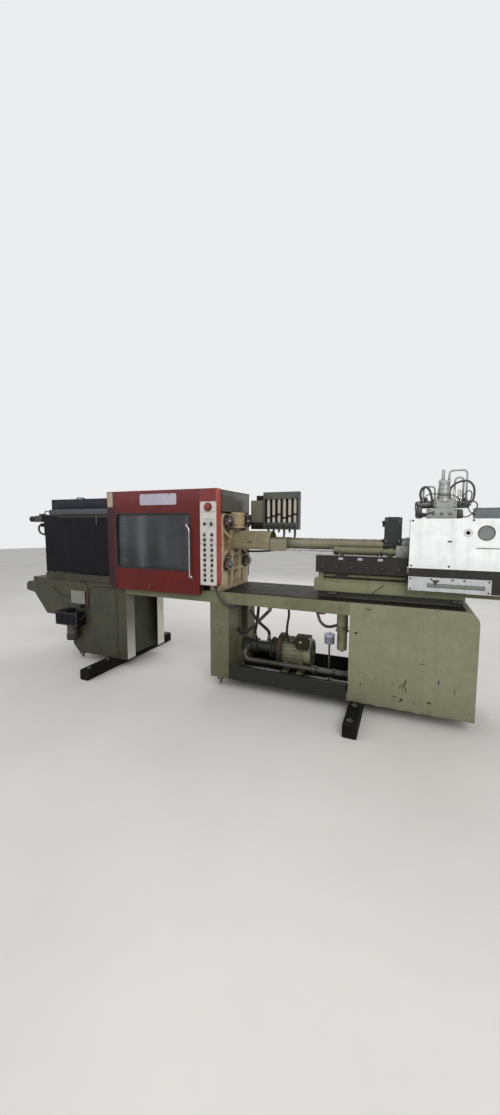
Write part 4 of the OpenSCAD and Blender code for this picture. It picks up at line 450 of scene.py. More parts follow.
# radius is one number, or one for each point of the route
def addTube(route, radius, sides=12):
    radii = radius if isinstance(radius, list) else [radius] * len(route)
    way = (route[1] - route[0]).normalized()
    side = way.orthogonal().normalized()
    rings = []
    for i, point in enumerate(route):
        ahead = (route[min(i + 1, len(route) - 1)] - route[max(i - 1, 0)]).normalized()
        side = (side - ahead * side.dot(ahead)).normalized()
        other = ahead.cross(side)
        rings.append([point + radii[i] * (math.cos(t) * side + math.sin(t) * other)
            for t in (math.tau * k / sides for k in range(sides))])
    addRings(rings)


def addPipe(points, radius, sides=12):
    addTube(smoothRoute(points), radius, sides)


# points at a height over the plane that the outline lies in
def lifted(outline, plane, height):
    axis = "xyz".index(plane)
    return [Vector((*uv[:axis], height, *uv[axis:])) for uv in outline]


# a flat plate: outline in the two axes that are not plane, from level to level + thick along plane
def addPlate(outline, plane, level, thick):
    addRings([lifted(outline, plane, level), lifted(outline, plane, level + thick)])


# a ring of sheet between two outlines with the same number of points
def addFrame(outer, inner, plane, level, thick):
    edges = ((outer, level), (outer, level + thick), (inner, level + thick), (inner, level))
    loops = [[bm.verts.new(p) for p in lifted(outline, plane, height)] for outline, height in edges]
    bridge(loops + loops[:1])


# points round a centre, from an angle of phase steps
def circle(centre, radius, count=40, phase=0.0):
    angles = [math.tau * (k + phase) / count for k in range(count)]
    return [(centre[0] + radius * math.cos(t), centre[1] + radius * math.sin(t)) for t in angles]


def rectangle(low, high):
    return [low, (high[0], low[1]), high, (low[0], high[1])]


def grid(us, vs):
    return [(u, v) for u in us for v in vs]


def between(start, end, count=3):
    a, b = Vector(start), Vector(end)
    return [a.lerp(b, i / (count - 1)) for i in range(count)]


def roundOutline(low, high, radius, steps=5):
    centres = ((high[0] - radius, high[1] - radius, 0), (low[0] + radius, high[1] - radius, 90),
        (low[0] + radius, low[1] + radius, 180), (high[0] - radius, low[1] + radius, 270))
    return [(cx + radius * math.cos(math.radians(start + 90 * k / steps)),
        cy + radius * math.sin(math.radians(start + 90 * k / steps))) for cx, cy, start in centres
        for k in range(steps + 1)]


# smooth shading with sharp edges where faces meet at more than crease degrees
def shade(mesh, crease):
    for face in mesh.polygons:
        face.use_smooth = True
    mesh.set_sharp_from_angle(angle=math.radians(crease))


def ridePiece(name, mesh, body):
    piece = bpy.data.objects.new(name, mesh)
    scene.collection.objects.link(piece)
    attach(piece, body)
    return piece


def makePiece(name, look, body="base", standsFor=(), bevel=0.0):
    bmesh.ops.recalc_face_normals(bm, faces=bm.faces)
    mesh = bpy.data.meshes.new(name)
    bm.to_mesh(mesh)
    bm.clear()
    shade(mesh, 38.0)
    mesh.materials.append(looks[look])
    piece = ridePiece(name, mesh, body)
    if bevel:
        edge = piece.modifiers.new("softEdges", "BEVEL")
        edge.width, edge.segments, edge.limit_method = bevel, 2, "ANGLE"
    if standsFor:
        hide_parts(*standsFor)


# geometry node trees for what repeats

def startTree(name, inputs):
    tree = bpy.data.node_groups.new(name, "GeometryNodeTree")
    tree.interface.new_socket("Geometry", in_out="INPUT", socket_type="NodeSocketGeometry")
    for label, kind, value in inputs:
        socket = tree.interface.new_socket(label, in_out="INPUT", socket_type="NodeSocket" + kind)
        if value is not None:
            socket.default_value = value
    tree.interface.new_socket("finish", in_out="INPUT", socket_type="NodeSocketMaterial")
    tree.interface.new_socket("Geometry", in_out="OUTPUT", socket_type="NodeSocketGeometry")
    return tree, tree.nodes.new("NodeGroupInput").outputs


def endTree(tree, given, instances):
    real = addNode(tree, "GeometryNodeRealizeInstances", None, {0: instances})
    painted = addNode(tree, "GeometryNodeSetMaterial", None,
        {"Geometry": real, "Material": given["finish"]})
    addNode(tree, "NodeGroupOutput", None, {0: painted})
    return tree


# bolt or screw heads on the points of a mesh: each has facing, a direction, and size, its radius
def headTree(name, sides):
    tree, given = startTree(name, [("headHeight", "Float", 0.6), ("washerRadius", "Float", 1.35),
        ("washerHeight", "Float", 0.18)])
    facing = addNode(tree, "GeometryNodeInputNamedAttribute",
        {"data_type": "FLOAT_VECTOR", "Name": "facing"})
    size = addNode(tree, "GeometryNodeInputNamedAttribute", {"data_type": "FLOAT", "Name": "size"})
    turn = addNode(tree, "FunctionNodeAlignRotationToVector", {"axis": "Z"}, {"Vector": facing})
    head = addNode(tree, "GeometryNodeMeshCone", {"Vertices": sides, "Radius Top": 0.86,
        "Radius Bottom": 1.0}, {"Depth": given["headHeight"]})
    lift = addNode(tree, "ShaderNodeCombineXYZ", None, {"Z": given["washerHeight"]})
    raised = addNode(tree, "GeometryNodeTransform", None, {"Geometry": head, "Translation": lift})
    washer = addNode(tree, "GeometryNodeMeshCone", {"Vertices": 14, "Radius Top": 1.2},
        {"Radius Bottom": given["washerRadius"], "Depth": given["washerHeight"]})
    both = addNode(tree, "GeometryNodeJoinGeometry")
    tree.links.new(raised.outputs[0], both.inputs[0])
    tree.links.new(washer.outputs[0], both.inputs[0])
    placed = addNode(tree, "GeometryNodeInstanceOnPoints", None,
        {"Points": given["Geometry"], "Instance": both, "Rotation": turn, "Scale": size})
    return endTree(tree, given, placed)


# short collars along a line: conduit ribs, coil turns, spring turns
def ringTree(name):
    tree, given = startTree(name, [("pitch", "Float", 0.01), ("ringRadius", "Float", 0.01),
        ("ringWidth", "Float", 0.004)])
    line = addNode(tree, "GeometryNodeMeshToCurve", None, {0: given["Geometry"]})
    points = addNode(tree, "GeometryNodeCurveToPoints", {"mode": "LENGTH"},
        {"Curve": line, "Length": given["pitch"]})
    collar = addNode(tree, "GeometryNodeMeshCylinder", {"Vertices": 14},
        {"Radius": given["ringRadius"], "Depth": given["ringWidth"]})
    placed = addNode(tree, "GeometryNodeInstanceOnPoints", None,
        {"Points": points, "Instance": collar, "Rotation": points.outputs["Rotation"]})
    return endTree(tree, given, placed)


# a row of equal slats, each at a slant
def slatTree(name):
    tree, given = startTree(name, [("count", "Int", 8), ("step", "Vector", None),
        ("slatSize", "Vector", None), ("slant", "Vector", None)])
    row = addNode(tree, "GeometryNodeMeshLine", None, {"Count": given["count"], "Offset": given["step"]})
    slat = addNode(tree, "GeometryNodeMeshCube", None, {"Size": given["slatSize"]})
    placed = addNode(tree, "GeometryNodeInstanceOnPoints", None,
        {"Points": row, "Instance": slat, "Rotation": given["slant"]})
    rows = addNode(tree, "GeometryNodeInstanceOnPoints", None,
        {"Points": given["Geometry"], "Instance": placed})
    return endTree(tree, given, rows)


# a round screen of crossed wires in a window of the given radius
def wireTree(name):
    tree, given = startTree(name, [("radius", "Float", 0.04), ("count", "Int", 18),
        ("wireRadius", "Float", 0.0008)])
    spread = mathNode(tree, "MULTIPLY", given["radius"], 0.96)
    start = addNode(tree, "ShaderNodeCombineXYZ", None, {"X": mathNode(tree, "MULTIPLY", spread, -1.0)})
    stop = addNode(tree, "ShaderNodeCombineXYZ", None, {"X": spread})
    row = addNode(tree, "GeometryNodeMeshLine", {"mode": "END_POINTS"},
        {"Count": given["count"], "Start Location": start, "Offset": stop})
    place = addNode(tree, "GeometryNodeInputPosition")
    across = addNode(tree, "ShaderNodeSeparateXYZ", None, {0: place}).outputs[0]
    chord = mathNode(tree, "SQRT", mathNode(tree, "MAXIMUM",
        mathNode(tree, "SUBTRACT", mathNode(tree, "MULTIPLY", given["radius"], given["radius"]),
        mathNode(tree, "MULTIPLY", across, across)), 0.0), 0.0)
    wire = addNode(tree, "GeometryNodeMeshCylinder", {"Vertices": 6, "Depth": 2.0},
        {"Radius": given["wireRadius"]})
    stretch = addNode(tree, "ShaderNodeCombineXYZ", {"X": 1.0, "Y": 1.0}, {"Z": chord})
    upright = addNode(tree, "GeometryNodeInstanceOnPoints", None,
        {"Points": row, "Instance": wire, "Scale": stretch})
    level = addNode(tree, "GeometryNodeTransform", {"Rotation": (0.0, math.pi / 2, 0.0),
        "Translation": (0, 0.0016, 0)}, {"Geometry": upright})
    both = addNode(tree, "GeometryNodeJoinGeometry")
    tree.links.new(upright.outputs[0], both.inputs[0])
    tree.links.new(level.outputs[0], both.inputs[0])
    placed = addNode(tree, "GeometryNodeInstanceOnPoints", None,
        {"Points": given["Geometry"], "Instance": both})
    return endTree(tree, given, placed)


# runs a tree on a helper mesh and keeps the result as a plain mesh
def growPiece(name, tree, source, values, look, body="base", smooth=False):
    helper = bpy.data.objects.new(name + "Points", source)
    scene.collection.objects.link(helper)
    grow = helper.modifiers.new("grow", "NODES")
    grow.node_group = tree
    values = dict(values, finish=looks[look])
    for item in tree.interface.items_tree:
        if item.in_out == "INPUT" and item.name in values:
            grow[item.identifier] = values[item.name]
    graph = bpy.context.evaluated_depsgraph_get()
    mesh = bpy.data.meshes.new_from_object(helper.evaluated_get(graph))
    mesh.name = name
    bpy.data.objects.remove(helper)
    bpy.data.meshes.remove(source)
    if smooth:
        shade(mesh, 40.0)
    else:
        mesh.shade_flat()
    ridePiece(name, mesh, body)


boltHeads = headTree("boltHeads", 6)
screwHeads = headTree("screwHeads", 12)
collars = ringTree("collars")
slats = slatTree("slats")
screenWires = wireTree("screenWires")


def pointMesh(name, points, edges=()):
    mesh = bpy.data.meshes.new(name)
    mesh.from_pydata([tuple(p) for p in points], edges, [])
    return mesh


# places are (point, outward, radius)
def putHeads(name, tree, places, look, body, **values):
    points, facing, size = zip(*places)
    source = pointMesh(name, points)
    for label, kind, entry, numbers in (("facing", "FLOAT_VECTOR", "vector",
            [v for way in facing for v in way]), ("size", "FLOAT", "value", size)):
        source.attributes.new(label, kind, "POINT").data.foreach_set(entry, numbers)
    growPiece(name, tree, source, values, look, body)


def putBolts(name, places, look="bareSteel", body="base", **values):
    putHeads(name, boltHeads, places, look, body, **values)


def putScrews(name, places, look="bareSteel", body="base", headHeight=0.5, **values):
    putHeads(name, screwHeads, places, look, body, headHeight=headHeight, **values)


# collars along each of the routes
def putCollars(name, routes, look, pitch, radius, width, body="base"):
    points, edges = [], []
    for route in routes:
        edges += [(len(points) + i, len(points) + i + 1) for i in range(len(route) - 1)]
        points += route
    growPiece(name, collars, pointMesh(name, points, edges),
        {"pitch": pitch, "ringRadius": radius, "ringWidth": width}, look, body, True)


# a row of slats above each start
def putSlats(name, starts, look, count, rise, slatSize, slant, body="base"):
    values = {"count": count, "step": (0.0, 0.0, rise), "slatSize": slatSize, "slant": slant}
    growPiece(name, slats, pointMesh(name, starts), values, look, body)


front, back, up, down, right, left = (0, -1, 0), (0, 1, 0), (0, 0, 1), (0, 0, -1), (1, 0, 0), (-1, 0, 0)
bothSides = ((-1, front), (1, back))


# places for heads at spots on a face that looks along way and lies at level
def onFace(way, level, spots, radius):
    plane = "xyz"[[abs(v) for v in way].index(1)]
    return [(place, way, radius) for place in lifted(spots, plane, level)]


def grownOutline(low, high, corner, grow):
    return roundOutline((low[0] - grow, low[1] - grow), (high[0] + grow, high[1] + grow),
        max(corner + grow, 0.002))


print("dressing the operator door")
door = {"face": -0.37, "windowLow": (-1.066, 1.055), "windowHigh": (-0.243, 1.557), "corner": 0.032,
    "gasket": 0.009, "namePlate": ((-0.785, 1.632), (-0.372, 1.745)),
    "sideLabel": ((-1.165, 1.625), (-1.1, 1.765)), "handleX": -0.234, "handleOut": -0.398,
    "handleFoot": 0.999, "handleTop": 1.452, "handleRadius": 0.0065, "screwRadius": 0.0055}
face = door["face"]
seals = [grownOutline(door["windowLow"], door["windowHigh"], door["corner"], grow)
    for grow in (door["gasket"], 0.003, -0.004, -0.006)]
addFrame(seals[0], seals[2], "y", face - 0.003, 0.007)
addFrame(seals[1], seals[3], "y", face + 0.001, 0.018)
makePiece("windowSeal", "sealRubber", "front_door", bevel=0.0012)

x, out, foot, top = door["handleX"], door["handleOut"], door["handleFoot"], door["handleTop"]
addPipe([(x, face + 0.001, foot), (x, out + 0.014, foot), (x, out + 0.004, foot + 0.005),
    (x, out, foot + 0.02), (x, out, (foot + top) / 2), (x, out, top - 0.07), (x - 0.002, out, top - 0.035),
    (x - 0.012, out, top - 0.012), (x - 0.026, out + 0.003, top), (x - 0.038, out + 0.012, top + 0.002),
    (x - 0.042, face + 0.001, top + 0.002)], door["handleRadius"])
for z, dx in ((foot, 0.0), (top + 0.002, -0.042)):
    addTurned((x + dx, face, z), front, [(0, 0.013), (0.004, 0.013), (0.006, 0.01)], 16)
makePiece("doorHandleBar", "brightBar", "front_door", standsFor=("door_handle",))

rivets = []
for name, look, corner, out, thick, soft, inset, rivet in (("namePlate", "barePlate", 0.006, 0.0016, 0.002,
        0.0006, 0.012, 0.0036), ("sideLabel", "fadedPlate", 0.004, 0.0012, 0.0016, 0, 0.008, 0.003)):
    (x0, z0), (x1, z1) = door[name]
    addPlate(roundOutline((x0, z0), (x1, z1), corner), "y", face - out, thick)
    makePiece(name, look, "front_door", bevel=soft)
    if name == "namePlate":
        addFrame(roundOutline((x0, z0), (x1, z1), corner), roundOutline((x0 + 0.006, z0 + 0.006),
            (x1 - 0.006, z1 - 0.006), 0.004), "y", face - 0.0024, 0.0012)
        makePiece("namePlateRim", "doorPaint", "front_door")
    rivets += onFace(front, face - out, grid((x0 + inset, x1 - inset), (z0 + inset, z1 - inset)), rivet)
putScrews("plateRivets", rivets, body="front_door", headHeight=0.45, washerHeight=0.05)
doorScrews = grid((-1.14, -0.82, -0.46, -0.182), (0.882,)) + grid((-0.82, -0.46, -0.182), (1.735,))
doorScrews = onFace(front, face, doorScrews + grid((-0.9, -0.45), (0.962,)), door["screwRadius"])
putScrews("doorScrews", doorScrews, "doorPaint", "front_door")
addPlate(roundOutline((-0.706, 0.866), (-0.646, 0.904), 0.008), "y", face - 0.004, 0.005)
addTurned((-0.676, face - 0.003, 0.885), front, [(0, 0.013), (0.014, 0.012), (0.017, 0.009)], 18)
makePiece("doorLatch", "agedRed", "front_door", bevel=0.001)
for u in (-1.02, -0.76, -0.55, -0.29):
    for v in (1.046, 1.566):
        addBlock((u - 0.014, -0.3455, v - 0.011), (u + 0.014, -0.34, v + 0.011), 0.001)
makePiece("paneClips", "bareSteel", "front_door")

print("dressing the rear door")
rearDoor = {"face": 0.37, "barX": -0.66, "barOut": 0.402, "barFoot": 1.06, "barTop": 1.51,
    "barRadius": 0.007, "rib": ((-1.1, 0.93), (-0.22, 1.69)), "ribWidth": 0.02, "screwRadius": 0.0055,
    "screwColumns": (-1.14, -0.9, -0.66, -0.42, -0.18), "screwRows": (0.872, 1.742)}
face, x, out, foot, top = (rearDoor[key] for key in ("face", "barX", "barOut", "barFoot", "barTop"))
addPipe([(x, face - 0.001, foot), (x, out - 0.002, foot + 0.005), (x, out, foot + 0.06),
    (x, out, foot + 0.24), (x, out, top - 0.06), (x, out - 0.002, top - 0.005), (x, face - 0.001, top)],
    rearDoor["barRadius"])
for z in (foot, top):
    addTurned((x, face, z), back, [(0, 0.014), (0.004, 0.014), (0.006, 0.01)], 16)
makePiece("rearDoorBar", "brightBar", "back_door")
((x0, z0), (x1, z1)), wide = rearDoor["rib"], rearDoor["ribWidth"]
addFrame(roundOutline((x0, z0), (x1, z1), 0.03), roundOutline((x0 + wide, z0 + wide),
    (x1 - wide, z1 - wide), 0.02), "y", face - 0.001, 0.005)
makePiece("rearDoorRib", "doorPaint", "back_door", bevel=0.0015)
putScrews("rearDoorScrews", [((u, face, v), back, rearDoor["screwRadius"]) for v in rearDoor["screwRows"]
    for u in rearDoor["screwColumns"]], "doorPaint", "back_door")

print("dressing the control panel")
panel = {"face": -0.374, "columns": (-0.0935, -0.0235), "firstRow": 1.376, "rowStep": 0.0438, "rows": 10,
    "keyRow": 1.469, "buttons": ((0, 0), (1, 1), (1, 2), (1, 4), (1, 7), (1, 8))}
face, rowStep = panel["face"], panel["rowStep"]
rowHeights = [panel["firstRow"] - rowStep * row for row in range(panel["rows"])]
addPlate(roundOutline((-0.137, 1.5692), (0.0165, 1.5714), 0.0008), "y", face - 0.0006, 0.0009)
makePiece("panelGroove", "capBlack")
for x in panel["columns"]:
    for z in rowHeights:
        addPlate(roundOutline((x - 0.012, z + 0.0155), (x + 0.012, z + 0.0245), 0.0015), "y", face - 0.0009,
            0.0012)
makePiece("controlTags", "greyTag")
for z in rowHeights[:-1]:
    middle = z - rowStep / 2
    addPlate(roundOutline((-0.0625, middle - 0.007), (-0.0545, middle + 0.007), 0.0015), "y", face - 0.0006,
        0.0009)
addPlate(roundOutline((-0.108, 1.5), (-0.009, 1.518), 0.002), "y", face - 0.0006, 0.0009)
addPlate(roundOutline((-0.066, 1.432), (-0.05, 1.492), 0.002), "y", face - 0.0006, 0.0009)
makePiece("controlTagsDark", "greyTag")
lampSpots = [(x, z) for column, x in enumerate(panel["columns"]) for row, z in enumerate(rowHeights)
    if (column, row) not in panel["buttons"]]
lampSpots.append((panel["columns"][0], panel["keyRow"]))
for x, z in lampSpots:
    addTurned((x, face - 0.0058, z), front, [(0, 0.0074), (0.0015, 0.0076), (0.004, 0.007),
        (0.0062, 0.0046), (0.007, 0.001)], 16)
makePiece("lampLenses", "capBlack")
for x, z in lampSpots:
    addTurned((x, face + 0.0002, z), front, [(0, 0.0146), (0.0036, 0.0146), (0.0062, 0.0126)], 24)
makePiece("lampBezels", "capBlack")
putScrews("panelScrews", [((u, face, v), front, 0.0036) for u in (-0.13, 0.013)
    for v in (0.947, 1.3, 1.651)])
addTurned((-0.0585, -0.3785, 1.613), front, [(0, 0.036), (0.002, 0.0365), (0.0035, 0.036), (0.0036, 0.03)],
    36)
makePiece("stopCollar", "agedRed")
addTurned((-0.008, -0.335, 0.9352), down, [(0, 0.018), (0.006, 0.018), (0.007, 0.0145), (0.03, 0.0125),
    (0.034, 0.0095)], 20)
addTurned((0.174, -0.263, 0.7765), down, [(0, 0.019), (0.005, 0.019), (0.006, 0.0145), (0.022, 0.0125),
    (0.026, 0.0095)], 20)
makePiece("cableGlands", "capBlack")
putScrews("columnScrews", [((-0.142, -0.37, v), front, 0.0045) for v in (1.0, 1.35, 1.72)], "columnPaint")

print("dressing the clamp unit")
clamp = {"side": 0.3, "end": -2.124, "screwRadius": 0.0065}
lowScrews = grid((-2.09, -1.86, -1.63, -1.4, -1.21), (0.962,)) + [(-2.08, 1.548)]
coverScrews = onFace(left, clamp["end"], grid((-0.27, 0.27), (0.985, 1.25, 1.53)), clamp["screwRadius"])
for side, way in bothSides:
    coverScrews += onFace(way, side * clamp["side"], lowScrews, clamp["screwRadius"])
putScrews("coverScrews", coverScrews, "blackPaint", headHeight=0.28)
addBlock((-1.386, -0.3075, 1.452), (-1.371, -0.2995, 1.54), 0.003)
addBlock((-2.122, -0.3015, 1.5525), (-1.916, -0.2985, 1.5605), 0.001)
makePiece("coverPull", "shoulderGrey")
addBlock((-1.9135, -0.3283, 1.5625), (-0.1495, -0.3268, 1.6145), 0.0006)
addBlock((-1.9135, -0.3265, 1.615), (-0.1495, -0.3005, 1.6158), 0.0003)
addPlate(rectangle((-2.047, 1.566), (-1.915, 1.6135)), "y", -0.2995, 0.0005)
makePiece("shoulderStrip", "shoulderGrey")
addBlock((-2.0475, -0.2632, 1.6165), (-1.1805, -0.2618, 1.7215), 0.0006)
addBlock((-2.0492, -0.261, 1.6165), (-2.0478, 0.261, 1.7215), 0.0006)
makePiece("coverBoxSkin", "boxPaint")
putScrews("coverBoxScrews", onFace(front, -0.2632, grid((-2.02, -1.72, -1.42, -1.2), (1.633, 1.706)),
    0.005), "boxPaint", headHeight=0.45)
for u in (-1.9, -1.32):
    addPipe([(u, -0.06, 1.7215), (u, -0.058, 1.742), (u, -0.045, 1.752), (u, 0.0, 1.754), (u, 0.045, 1.752),
        (u, 0.058, 1.742), (u, 0.06, 1.7215)], 0.006)
makePiece("coverLiftHandles", "blackPaint")
putSlats("coverVentsRear", [(x, 0.3005, z) for z in (1.16, 1.34) for x in (-1.99, -1.62)], "blackPaint",
    count=8, rise=0.016, slatSize=(0.22, 0.01, 0.004), slant=(0.75, 0.0, 0.0))
addBlock((-2.3, -0.274, 1.482), (-2.196, -0.198, 1.552), 0.005)
addBlock((-2.262, -0.256, 1.552), (-2.222, -0.216, 1.572), 0.004)
addTurned((-2.18, -0.236, 1.549), up, plug(0.016, 0.01, 0.011, 0.022, 0.01, 0.002), 14)
makePiece("clampValvePlug", "capBlack")
putCollars("clampCoilRibs", [between((-2.4, -0.236, 1.515), (-2.312, -0.236, 1.515), 2)], "capBlack",
    0.0095, 0.0325, 0.0045)
addPipe([(-2.222, -0.236, 1.56), (-2.205, -0.238, 1.568), (-2.186, -0.242, 1.58), (-2.165, -0.245, 1.6),
    (-2.14, -0.24, 1.598), (-2.118, -0.225, 1.58), (-2.108, -0.205, 1.564)], 0.0055)
addPipe([(-2.248, -0.236, 1.449), (-2.268, -0.236, 1.447), (-2.29, -0.238, 1.43), (-2.292, -0.24, 1.395),
    (-2.27, -0.238, 1.362), (-2.235, -0.225, 1.345), (-2.19, -0.205, 1.345), (-2.16, -0.195, 1.352)], 0.011)
addPipe([(-2.16, -0.1, 1.365), (-2.19, -0.105, 1.355), (-2.215, -0.125, 1.31), (-2.218, -0.15, 1.24),
    (-2.195, -0.165, 1.16), (-2.16, -0.17, 1.08), (-2.142, -0.175, 1.0), (-2.15, -0.18, 0.92),
    (-2.15, -0.18, 0.878)], 0.012)
makePiece("clampValveLines", "hoseRubber")
putBolts("clampFlangeBolts", onFace(left, -2.1, circle((0, 1.32), 0.135, 10, 0.5), 0.01))

print("dressing the bed and the cabinet")
bed = {"timerPlate": ((-1.758, 0.625), (-1.56, 0.764)), "timerFace": -0.3166, "timerInset": 0.01,
    "flangeFoot": 0.106, "flangeTop": 0.872, "beadFace": -0.3082, "legBoltsAt": (-0.055, 0.072),
    "legBoltHeight": 0.135, "legBoltRadius": 0.01, "beamBoltsAt": (-0.95, -0.55, 0.16, 0.62, 1.06),
    "beamBoltHeight": 0.826, "beamBoltRadius": 0.009}
((x0, z0), (x1, z1)), inset = bed["timerPlate"], bed["timerInset"]
addPlate(roundOutline((x0, z0), (x1, z1), 0.004), "y", bed["timerFace"], 0.0018)
makePiece("timerPlate", "timerGrey", bevel=0.0008)
putScrews("timerPlateScrews", onFace(front, bed["timerFace"], grid((x0 + inset, x1 - inset),
    (z0 + inset, z1 - inset)), 0.004))
# plates on the clamp leg's end flanges, pale to paint light on them
for name, inner, outer, look in (("legFlangeFront", -0.3035, -0.188, "flangePaint"),
        ("legFlangeRear", 0.188, 0.3035, "flangePale")):
    addPlate(rectangle((inner, bed["flangeFoot"]), (outer, bed["flangeTop"])), "x", -1.0272, 0.0008)
    makePiece(name, look)
y0 = bed["beadFace"]
for start, end in (((-1.15, y0, 0.112), (-1.15, y0, 0.72)), ((-2.12, y0, 0.512), (-1.77, y0, 0.512))):
    addTube(between(start, end, 24), [0.0022 + 0.0012 * math.sin(i * 2.4) for i in range(24)], 8)
makePiece("weldBeads", "shadedPaint")
putBolts("legBolts", [((x, side * 0.304, bed["legBoltHeight"]), way, bed["legBoltRadius"])
    for side, way in bothSides for x in bed["legBoltsAt"]], "legPaint")
putBolts("beamBolts", [((x, side * 0.307, bed["beamBoltHeight"]), way, bed["beamBoltRadius"])
    for side, way in bothSides for x in bed["beamBoltsAt"]], "framePaint")

crumple = [(1.134 + 0.853 * k / 24, 0.104 + 0.006 * math.sin(k * 1.7) + 0.004 * math.sin(k * 3.9))
    for k in range(25)]
addTube([Vector((x, -0.3085, z)) for x, z in crumple], 0.0028, 8)
makePiece("cabinetLip", "cabinetPaint")
random.seed(7)
cabinet = {"face": 0.307, "screwRadius": 0.005, "louvres": 9}
scuffPlaces = [(1.267, 0.836, 0.034, 0.006, -0.2), (1.18, 0.645, 0.016, 0.012, 0.2),
    (1.757, 0.351, 0.006, 0.022, 0.0), (1.702, 0.189, 0.02, 0.009, -0.3), (1.534, 0.3, 0.007, 0.05, 0.25),
    (1.545, 0.262, 0.005, 0.034, -0.1), (1.508, 0.285, 0.004, 0.03, 0.5), (1.64, 0.47, 0.022, 0.003, -0.1),
    (1.225, 0.248, 0.007, 0.01, 0.0), (1.515, 0.178, 0.012, 0.018, 0.4), (1.47, 0.196, 0.02, 0.005, 0.1),
    (1.86, 0.3, 0.003, 0.026, 0.0)]
for x, z, halfWide, halfTall, lean in scuffPlaces:
    rim = [(x + halfWide * math.cos(t) * random.uniform(0.6, 1.1) + lean * halfTall * math.sin(t),
        z + halfTall * math.sin(t) * random.uniform(0.6, 1.1))
        for t in (math.tau * k / 14 for k in range(14))]
    addPlate(rim, "y", -0.3074, 0.0006)
makePiece("cabinetScuffs", "bareScuff")
cabinetScrews = [((x, side * cabinet["face"], z), way, cabinet["screwRadius"]) for side, way in bothSides
    for x in (1.155, 1.56, 1.96) for z in (0.16, 0.48, 0.8) if not (x > 1.9 and z > 0.7)]
putScrews("cabinetScrews", cabinetScrews, "cabinetPaint", headHeight=0.45)
putSlats("cabinetLouvres", [(x, 0.3075, z) for z in (0.3, 0.56) for x in (1.36, 1.76)], "cabinetPaint",
    count=cabinet["louvres"], rise=0.018, slatSize=(0.24, 0.01, 0.005), slant=(0.7, 0.0, 0.0))
addBlock((1.989, -0.175, 0.3), (1.9935, -0.135, 0.62), 0.002)
for z in (0.318, 0.602):
    addTurned((1.992, -0.155, z), right, plug(0.014, 0.008, 0.011, 0.016, 0.01, 0.002), 6)
makePiece("levelGauge", "aluminium")
addTube(between((1.999, -0.155, 0.33), (1.999, -0.155, 0.59), 4), 0.007, 12)
makePiece("levelGlass", "oilGlass")

print("dressing the lubricator")
lube = {"x": (-1.87, -1.566), "front": -0.425, "z": (0.413, 0.548), "bowlX": -1.698, "bowlY": -0.366,
    "bowlFoot": 0.314, "cupFoot": 0.2575, "blockX": -1.76, "blockTop": 0.57}
(x0, x1), (z0, z1), y0 = lube["x"], lube["z"], lube["front"]
addFrame(roundOutline((x0 + 0.002, z0 + 0.002), (x1 - 0.002, z1 - 0.002), 0.012),
    roundOutline((x0 + 0.01, z0 + 0.01), (x1 - 0.01, z1 - 0.01), 0.008), "y", y0 - 0.0014, 0.002)
addTurned((lube["blockX"], lube["bowlY"], lube["blockTop"] - 0.001), up,
    plug(0.018, 0.006, 0.013, 0.016, 0.012, 0.002), 18)
addTurned((x1 - 0.022, y0 + 0.018, z1 - 0.0005), up, plug(0.0135, 0.006, 0.009, 0.011, 0.008, 0.002), 14)
for y, z in ((-0.345, z0 + 0.087), (-0.385, z0 + 0.072)):
    addTurned((x1 - 0.001, y, z), right, plug(0.01, 0.008, 0.007, 0.016, 0.006), 10)
makePiece("lubricatorTrim", "capBlack", bevel=0.0008)
addTurned((lube["bowlX"], lube["bowlY"], lube["bowlFoot"]), up,
    [(0, 0.0524), (0.004, 0.0532), (0.02, 0.0532), (0.022, 0.0526), (0.052, 0.0526), (0.054, 0.0533),
    (0.082, 0.0533), (0.098, 0.0524)], 32)
makePiece("lubricatorBowl", "milkyBowl")
addTurned((lube["bowlX"], lube["bowlY"], lube["cupFoot"]), up,
    [(0, 0.044), (0.004, 0.056), (0.01, 0.0588), (0.05, 0.0592), (0.0565, 0.0588), (0.057, 0.0535)], 32)
makePiece("lubricatorCup", "cupBrown")
putScrews("lubricatorScrews", onFace(front, y0, grid((x0 + 0.016, x1 - 0.016), (z0 + 0.016, z1 - 0.016)),
    0.0045), headHeight=0.45)
addPipe([(-1.552, -0.345, 0.5), (-1.544, -0.345, 0.502), (-1.526, -0.336, 0.54), (-1.516, -0.32, 0.6),
    (-1.512, -0.3115, 0.66), (-1.508, -0.3105, 0.74), (-1.49, -0.3105, 0.8), (-1.45, -0.3105, 0.815),
    (-1.34, -0.3105, 0.822), (-1.22, -0.3105, 0.826), (-1.17, -0.309, 0.828)], 0.0026, 8)
addPipe([(-1.552, -0.385, 0.485), (-1.544, -0.382, 0.487), (-1.53, -0.36, 0.52), (-1.526, -0.325, 0.58),
    (-1.524, -0.3115, 0.64), (-1.524, -0.3105, 0.74), (-1.524, -0.3105, 0.8), (-1.545, -0.3105, 0.85),
    (-1.6, -0.3105, 0.866), (-1.66, -0.309, 0.868)], 0.0026, 8)
makePiece("oilLines", "copperPipe")

